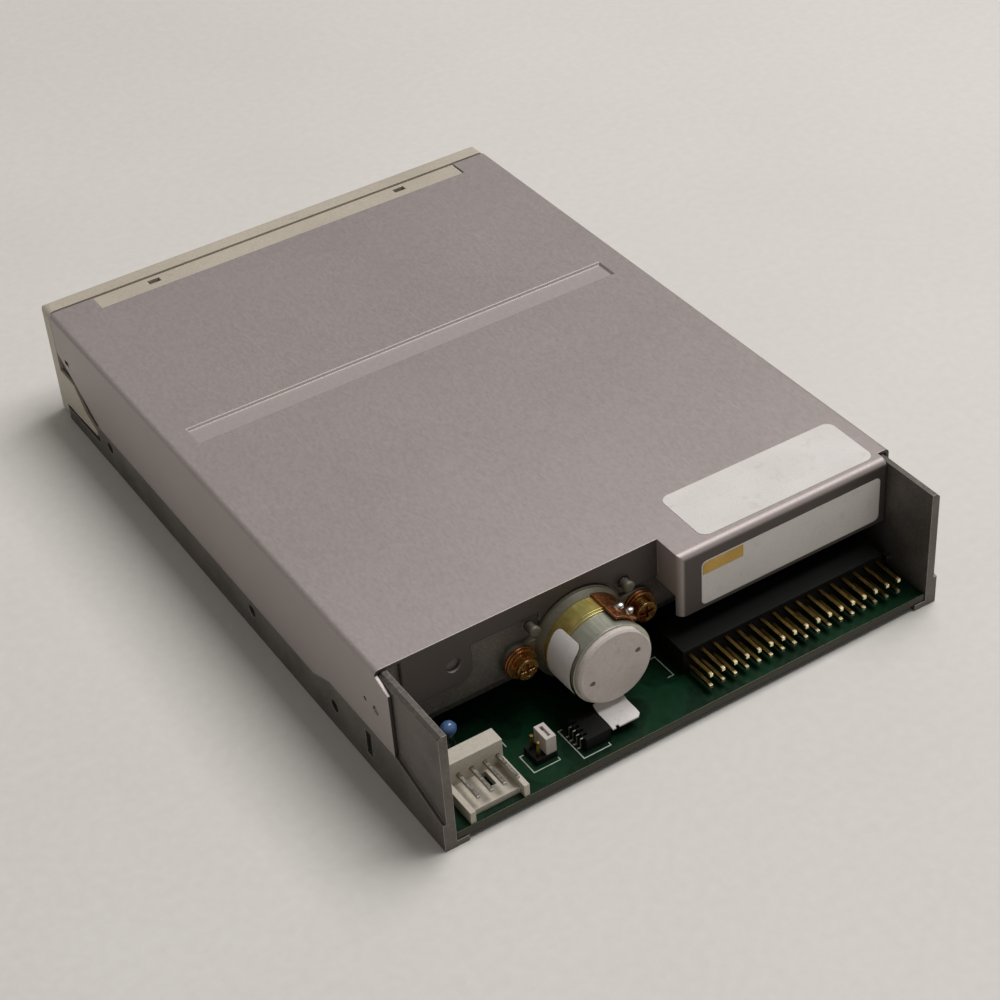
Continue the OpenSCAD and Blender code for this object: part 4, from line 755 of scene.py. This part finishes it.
def cup_rings():
    """Two rolled golden beads where the motor's cups meet, and the sloped grey collar behind its flange."""
    sunk = 0.1 * MM
    bead = turned_ring("cup_rings", CAN_R - sunk, CUP_R + 0.06 * MM,
                       cup_joint - 0.2 * MM, cup_joint + 0.1 * MM, rounding=0.1 * MM)
    second = turned_ring("cup_ring_rear", CAN_R - sunk, CUP_R - 0.1 * MM,
                         cup_joint + 0.25 * MM, cup_joint + 0.62 * MM, rounding=0.12 * MM)
    settle(join(bead, [second]), YELLOW)
    collar = turned_ring("motor_collar", CUP_R - sunk, CUP_R + 0.95 * MM, front_cup_low.y - 0.05 * MM,
                         front_cup_low.y + 1.2 * MM, rounding=0.04 * MM, taper=0.9 * MM)
    settle(collar, FLANGE)


def motor_post_caps():
    """Dull peened heads on the two posts above the motor's shoulders."""
    spread, rise, radius, height = 18.8 * MM, 6.0 * MM, 1.1 * MM, 0.75 * MM
    foot = Vector((motor.x - spread / 2, front_cup_low.y + 1.0 * MM, motor.z + rise))
    cap = rod("motor_post_caps", foot, radius, height, "Y")
    round_edges(cap, 0.45 * MM, 5, lambda at, way: at.y > foot.y + 0.7 * MM and abs(way.y) < SQUARE)
    settle(copies(cap, [(spread, 0, 0)]), FLANGE)


STRAP_R = CUP_R + 0.1 * MM
STRAP_FROM, STRAP_NECK, STRAP_TO = 103, 137, 140  # degrees above the can's left side
SCREW_HEAD_R = 2.9 * MM


def strap_tongue():
    """The strap's tongue: cut flat, pressed round the can's upper right and given its thickness."""
    start, end = on_can(STRAP_FROM, 0, STRAP_R).x, on_can(STRAP_TO, 0, STRAP_R).x
    front, back = front_cup_low.y + 1.0 * MM, rear_cup_high.y - 1.3 * MM
    above = motor.z + 14 * MM
    tongue = flat_sheet("ground_strap", ((start + end) / 2, (front + back) / 2, above),
                        (start - end, back - front))
    round_corners(tongue, 0.5 * MM, 3, lambda corner: corner.y > back - NEAR)
    slice_up(tongue, end, start, 16, "X")
    former = rod("strap_former", (motor.x, front - 5 * MM, motor.z), STRAP_R, 20 * MM, "Y", 128)
    press_onto(tongue, former, "Z", 0.45 * MM)
    round_edges(tongue, 0.08 * MM, 2, lambda at, way: abs(way.y) > PARALLEL and at.x > start - 0.3 * MM)
    return tongue


def strap_lug(x):
    """A round lug under a screw's head."""
    lug = rod("strap_lug", (x, front_cup_low.y, motor.z), 3.1 * MM, 0.5 * MM, "Y", 40)
    round_edges(lug, 0.12 * MM, 2, lambda at, way: abs(way.y) < SQUARE)
    return lug


def strap_neck(x):
    """The strap's neck, bent up from the right lug to the tongue."""
    lug_y = front_cup_low.y
    root = Vector((x, lug_y + 0.6 * MM, motor.z))
    tip = on_can(STRAP_NECK, lug_y + 0.6 * MM, STRAP_R + 0.1 * MM)
    neck = block("strap_neck", (root.x + 1.6 * MM, lug_y + 0.25 * MM, root.z - 1.3 * MM),
                 (root.x + 2.4 * MM, lug_y + 0.75 * MM, root.z + 0.7 * MM))
    draw_out(neck, tip - root - Vector((2.0 * MM, 0, 0)), lambda at, normal: normal.x > PARALLEL)
    draw_out(neck, Vector((0.4, 1.2, 0.2)) * MM, lambda at, normal: normal.x > PARALLEL)
    round_edges(neck, 0.1 * MM, 2)
    return neck


def ground_strap():
    """Copper strap: lugs under both screws, a neck from the right one, and a tongue round the can."""
    low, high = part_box("stepper_screws")
    right, left = low.x + SCREW_HEAD_R, high.x - SCREW_HEAD_R
    tongue = strap_tongue()
    lugs = [strap_lug(x) for x in (right, left)]
    strap = join(tongue, lugs + [strap_neck(right)])
    settle(strap, COPPER, replaces=("stepper_clip",))


def strap_solder():
    """Two frosty lumps of solder on the strap, beside the right screw."""
    first = on_can(121, rear_cup_low.y + 0.9 * MM, CUP_R + 0.55 * MM)
    second = on_can(133, rear_cup_low.y + 1.7 * MM, CUP_R + 0.5 * MM)
    lump = ball("strap_solder", first, Vector((0.95, 0.8, 0.6)) * MM)
    shift(lump, Vector((-0.2, 0.15, 0.12)) * MM, lambda corner: corner.z > first.z + 0.3 * MM)
    shift(lump, Vector((0.25, -0.2, 0)) * MM, lambda corner: corner.x > first.x + 0.5 * MM)
    settle(copies(lump, [second - first]), SOLDER)


def motor_flex():
    """White film tongue from under the motor to the board's edge: bent up at its root, notched at its tip."""
    low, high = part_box("stepper_flex")
    film, root, bend_step = 0.28 * MM, low.y + 2.2 * MM, 0.36 * MM
    tab = block("motor_flex", (low.x, root, low.z), (high.x, high.y, low.z + film))
    for i in range(6):
        end = root - bend_step * i
        rise = (0.02 + 0.055 * i) * MM
        draw_out(tab, (0, -bend_step, rise), lambda at, normal: normal.y < -0.7 and at.y < end + NEAR)
    cut_across(tab, (0, high.y - 1.6 * MM, 0), AXIS_WAY["Y"])
    shift(tab, (0, 0, -0.25 * MM), lambda corner: corner.y > high.y - NEAR)
    round_edges(tab, 0.6 * MM, 1, lambda at, way: abs(way.z) > PARALLEL
                and at.y > high.y - NEAR and at.x < low.x + NEAR)
    notch = block("flex_notch", (high.x - 1.35 * MM, high.y - 0.45 * MM, low.z - 1 * MM),
                  (high.x - 0.7 * MM, high.y + 1 * MM, low.z + 1 * MM))
    finish_with(tab, "BOOLEAN", object=notch, operation="DIFFERENCE")
    bpy.data.objects.remove(notch)
    settle(tab, SHEET, replaces=("stepper_flex",))


# Parts on the main board

board_low, board_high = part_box("main_board")
LEGEND_T = 0.03 * MM
LEGEND_W = 0.2 * MM
LEGEND_PATHS = (
    ((22.0, 66.2), (22.7, 66.2), (22.7, 73.9), (17.4, 73.9), (17.4, 73.3)),
    ((30.4, 67.4), (31.1, 67.4), (31.1, 71.8), (26.0, 71.8), (26.0, 71.2)),
    ((0.3, 60.9), (-0.8, 60.9), (-0.8, 66.4), (0.3, 66.4)),
    ((33.6, 62.3), (31.6, 62.3), (31.6, 64.0)),
)


def legend_line(path):
    """One line of the board's legend, drawn out from corner to corner of a path in millimetres."""
    stops = [Vector((x * MM, y * MM, board_high.z + LEGEND_T / 2)) for x, y in path]
    half = Vector((LEGEND_W, LEGEND_W, LEGEND_T)) / 2
    line = block("legend_line", stops[0] - half, stops[0] + half)
    for start, end in zip(stops, stops[1:]):
        way = (end - start).normalized()
        reach = (end - start).length - LEGEND_W
        edge = start + way * LEGEND_W / 2
        for face, by in ((edge, reach), (edge + way * reach, LEGEND_W)):
            draw_out(line, way * by, lambda at, normal: normal.dot(way) > PARALLEL
                     and (at - face).length < LEGEND_W / 4)
    return line


def board_legend():
    """White corner lines and brackets printed round the connectors."""
    lines = [legend_line(path) for path in LEGEND_PATHS]
    legend = join(lines[0], lines[1:])
    legend.name = "board_legend"
    settle(legend, INK)


def option_legs():
    """Four bent tin legs in the side notches of the option connector."""
    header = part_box("option_header")[1]
    count, pitch, wide, thick = 4, 1.1 * MM, 0.34 * MM, 0.22 * MM
    bend, shoulder = header.x + 0.25 * MM, header.z - 0.75 * MM
    y = header.y - 3.0 * MM - 1.5 * pitch
    leg = block("option_legs", (header.x - 0.85 * MM, y - wide / 2, shoulder),
                (bend, y + wide / 2, shoulder + thick))
    draw_out(leg, (thick, 0, 0), lambda at, normal: normal.x > PARALLEL)
    for drop in (shoulder - board_high.z - thick, thick):
        draw_out(leg, (0, 0, -drop), lambda at, normal: normal.z < -PARALLEL and at.x > bend)
    draw_out(leg, (0.6 * MM, 0, 0), lambda at, normal: normal.x > PARALLEL and at.z < board_high.z + thick)
    round_edges(leg, 0.05 * MM, 2)
    settle(copies(leg, [(0, pitch * i, 0) for i in range(1, count)]), TIN)


def capacitor():
    """Dipped bead with a sagging skirt on two kinked leads."""
    low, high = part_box("disc_capacitor")
    middle = (low + high) / 2
    radius = (high.x - low.x) / 2
    middle.z = high.z - radius
    skirt = middle.z - 0.66 * radius
    bead = ball("capacitor_bead", middle, Vector((radius, radius * 0.92, radius)))
    swell(bead, (0.82, 0.82, 1), middle, lambda corner: corner.z < skirt)
    shift(bead, (0, 0, -0.55 * MM), lambda corner: corner.z < skirt)
    swell(bead, (1.04, 1, 1), middle, lambda corner: abs(corner.z - middle.z) < 0.4 * radius)
    settle(bead, BLUE, replaces=("disc_capacitor",))
    capacitor_leads(middle, middle.z - radius)


def capacitor_leads(middle, top):
    """Two wire leads up to the capacitor's bead, each kinked outwards above the board."""
    spread, wire, foot_out, kink_out = 1.0 * MM, 0.26 * MM, 0.35 * MM, 0.18 * MM
    foot = Vector((middle.x - spread / 2, middle.y, board_high.z))
    lowest, kink, highest = (foot.z + rise * MM for rise in (0.9, 1.4, 1.9))
    lead = rod("capacitor_leads", foot, wire, top - foot.z, "Z", 12)
    for height in (lowest, kink, highest):
        cut_across(lead, (foot.x, foot.y, height), AXIS_WAY["Z"])

    def in_foot(corner):
        return corner.z < lowest + 0.1 * MM

    def in_kink(corner):
        return abs(corner.z - kink) < 0.1 * MM

    shift(lead, (-foot_out, 0, 0), in_foot)
    shift(lead, (-kink_out, 0, 0), in_kink)
    leads = copies(lead, [(spread, 0, 0)])
    shift(leads, (2 * foot_out, 0, 0), lambda corner: corner.x > middle.x and in_foot(corner))
    shift(leads, (2 * kink_out, 0, 0), lambda corner: corner.x > middle.x and in_kink(corner))
    settle(leads, TIN)


def pin_tails():
    """Places of the pins' tails in the main board: two rows of signal pins, then power and jumper pins."""
    pins_low, pins_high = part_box("signal_pins")
    power_low, power_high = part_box("power_pins")
    jumper_low, jumper_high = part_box("jumper_pins")
    pitch, half, power_half, jumper_half = 2.54 * MM, 0.32 * MM, 0.3 * MM, 0.25 * MM
    columns = round((pins_high.x - pins_low.x - 2 * half) / pitch) + 1
    power_count, power_y = 4, power_low.y + 0.4 * MM
    power_pitch = (power_high.x - power_low.x - 2 * power_half) / (power_count - 1)
    tails = [(pins_low.x + half + i * pitch, pins_low.y + half + row * pitch)
             for i in range(columns) for row in (0, 1)]
    tails += [(power_low.x + power_half + i * power_pitch, power_y) for i in range(power_count)]
    tails += [(x, y) for x in (jumper_low.x + jumper_half, jumper_high.x - jumper_half)
              for y in (jumper_low.y + jumper_half, jumper_high.y - jumper_half)]
    return tails


def solder_joints():
    """Solder fillets round every pin's tail under the main board."""
    tails = pin_tails()
    radius, tall = 0.85 * MM, 0.62 * MM
    waist = 0.62 * tall
    first = Vector((*tails[0], board_low.z - tall))
    fillet = rod("solder_joints", first, radius, tall, "Z", 14)
    cut_across(fillet, first + Vector((0, 0, waist)), AXIS_WAY["Z"])
    swell(fillet, (0.66, 0.66, 1), first, lambda corner: abs(corner.z - first.z - waist) < 0.05 * tall)
    swell(fillet, (0.5, 0.5, 1), first, lambda corner: corner.z < first.z + 0.05 * tall)
    settle(copies(fillet, [(x - first.x, y - first.y, 0) for x, y in tails[1:]]), SOLDER)


def wall_stub():
    """Small bright stop on the right wall's inner face, with a rounded nose."""
    wall, sunk, reach = 2.3 * MM, 0.3 * MM, 0.9 * MM
    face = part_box("side_walls")[0].x + wall
    y, z = cover_high.y + 1.4 * MM, 4.7 * MM
    half_y, half_z = 0.7 * MM, 0.5 * MM
    stub = block("wall_stub", (face - sunk, y - half_y, z - half_z), (face + reach, y + half_y, z + half_z))
    round_edges(stub, 0.25 * MM, 3, lambda at, way: at.x > face + reach - 0.1 * MM)
    settle(stub, STEEL)


# Springs and the head's flexible lead


def coil(name, foot, axis, radius, wire, pitch, turns, tail):
    """A wire coil wound from its foot along an axis, with a straight tail at each end."""
    only(None)
    bpy.ops.mesh.primitive_circle_add(vertices=10, radius=wire, location=(radius, 0, 0),
                                      rotation=(math.pi / 2, 0, 0))
    piece = begun(name)
    finish_with(piece, "SCREW", axis="Z", angle=math.tau, screw_offset=pitch, iterations=turns, steps=24,
                render_steps=24, use_merge_vertices=False)
    pick(piece, "FACE", everywhere)
    bpy.ops.mesh.fill_holes(sides=0)
    face_outwards()
    for end, way in ((Vector((radius, 0, 0)), -1), (Vector((radius, 0, pitch * turns)), 1)):
        draw_out(piece, (0, way * tail, 0),
                 lambda at, normal: (at - end).length < wire / 2 and abs(normal.y) > 0.8)
    only(piece)
    piece.rotation_euler = AXIS_TURN[axis]
    piece.location = foot
    bpy.ops.object.transform_apply(location=True, rotation=True, scale=True)
    return piece


def eject_springs():
    """The pair of long springs between the chassis and the slide plate."""
    low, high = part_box("eject_springs")
    wire, turns = 0.18 * MM, 10
    radius = (high.z - low.z) / 2 - wire
    middle_z = (low.z + high.z) / 2
    front = Vector((high.x - radius - wire, low.y + wire, middle_z))
    pitch = (high.y - low.y - 2 * wire) / turns
    eject = coil("eject_spring_coils", front, "Y", radius, wire, pitch, turns, 0.5 * MM)
    copies(eject, [(-2 * front.x, 0, 0)])
    settle(eject, WIRE, body=None, replaces=("eject_springs",))
    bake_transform(eject)


def lever_spring():
    """The short spring between the shutter lever and the disk holder."""
    low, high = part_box("lever_spring")
    middle = (low + high) / 2
    wire, turns = 0.16 * MM, 2
    radius = (high.x - low.x) / 2 - wire
    foot = Vector((middle.x, middle.y, low.z + wire))
    pitch = (high.z - low.z - 2 * wire) / turns
    lever = coil("lever_spring_coil", foot, "Z", radius, wire, pitch, turns, 1.2 * MM)
    settle(lever, WIRE, body=None, replaces=("lever_spring",))
    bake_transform(lever)


def cross_springs():
    """The springs that lie across the drive, at the dust door and at the upper head's arm."""
    for name, wire, turns, bodies in (("door_spring", 0.14 * MM, 2, ("door", "chassis")),
                                      ("arm_spring", 0.15 * MM, 3, ("arm", "carriage"))):
        low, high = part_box(name)
        middle = (low + high) / 2
        radius = (high.z - low.z) / 2 - wire
        foot = Vector((low.x + wire, middle.y, middle.z))
        pitch = (high.x - low.x - 2 * wire) / turns
        piece = coil(name + "_coil", foot, "X", radius, wire, pitch, turns, 0.6 * MM)
        settle(piece, WIRE, body=None, replaces=(name,))
        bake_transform(piece)


def head_flex():
    """Amber ribbon that rises from the board to the head carriage in a soft double bend."""
    low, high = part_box("head_flex")
    film, root, steps = 0.14 * MM, 0.2 * MM, 10
    ribbon = block("head_flex_ribbon", (low.x, low.y, low.z), (high.x, low.y + root, low.z + film))
    end = Vector(((low.x + high.x) / 2, low.y + root, low.z + film / 2))
    run = high.y - low.y - root
    climb = high.z - low.z - film
    for i in range(steps):
        heights = [(t / steps) ** 2 * (3 - 2 * t / steps) * climb for t in (i, i + 1)]
        by = Vector((0, run / steps, heights[1] - heights[0]))
        draw_out(ribbon, by, lambda at, normal: (at - end).length < 2 * NEAR)
        end = end + by
    settle(ribbon, FILM, body=None, replaces=("head_flex",))
    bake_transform(ribbon)


top_label()
rear_label()
motor_sticker()
cup_rings()
motor_post_caps()
ground_strap()
strap_solder()
motor_flex()
board_legend()
option_legs()
capacitor()
solder_joints()
wall_stub()
eject_springs()
lever_spring()
cross_springs()
head_flex()


# Camera, light and floor

CAMERA_AT = Vector((160.0, 291.76, 261.31)) * MM
CAMERA_AIM = Vector((-4.7, 5.24, 0.0)) * MM
CAMERA_ROLL = math.radians(4.45)
LENS_MM, SENSOR_MM = 79.77, 36.0
CLIP_START = 0.01
FLOOR_SIZE = 6.0
KEY_AT, KEY_SIZE, KEY_WATTS = (-0.45, 0.02, 1.0), (0.7, 0.7), 10.3
FILL_AT, FILL_SIZE, FILL_WATTS = (0.85, -0.1, 0.4), (0.6, 0.6), 0.35
LAMP_AIM = (0, 0, 0.01)
WORLD_TONE, WORLD_STRENGTH = "d9d7d4", 0.28


def camera():
    """The camera at the photograph's viewing angle."""
    data = bpy.data.cameras.new("camera")
    data.lens, data.sensor_width = LENS_MM, SENSOR_MM
    data.clip_start = CLIP_START
    made = bpy.data.objects.new("camera", data)
    made.location = CAMERA_AT
    made.rotation_mode = "QUATERNION"
    look = (CAMERA_AIM - CAMERA_AT).to_track_quat("-Z", "Y")
    made.rotation_quaternion = look @ Quaternion((0, 0, 1), -CAMERA_ROLL)
    bpy.context.scene.collection.objects.link(made)
    bpy.context.scene.camera = made


def lamp(name, at, size, watts):
    """A soft rectangular lamp aimed at the object."""
    data = bpy.data.lights.new(name, "AREA")
    data.shape, data.size, data.size_y = "RECTANGLE", size[0], size[1]
    data.energy = watts
    made = bpy.data.objects.new(name, data)
    made.location = at
    made.rotation_mode = "QUATERNION"
    made.rotation_quaternion = (Vector(LAMP_AIM) - Vector(at)).to_track_quat("-Z", "Y")
    bpy.context.scene.collection.objects.link(made)


def studio():
    """A plain pale floor under a soft key lamp, a weak fill and an even sky."""
    only(None)
    bpy.ops.mesh.primitive_plane_add(size=FLOOR_SIZE, location=(0, 0, cad_box[0].z))
    floor = bpy.context.object
    floor.name = "floor"
    floor.data.materials.append(floor_paint())
    world = bpy.data.worlds.new("soft_studio")
    world.use_nodes = True
    sky = world.node_tree.nodes["Background"].inputs
    sky["Color"].default_value = srgb(WORLD_TONE)
    sky["Strength"].default_value = WORLD_STRENGTH
    bpy.context.scene.world = world
    lamp("key_softbox", KEY_AT, KEY_SIZE, KEY_WATTS)
    lamp("fill_softbox", FILL_AT, FILL_SIZE, FILL_WATTS)
    bpy.context.scene.view_settings.view_transform = "Standard"


camera()
studio()
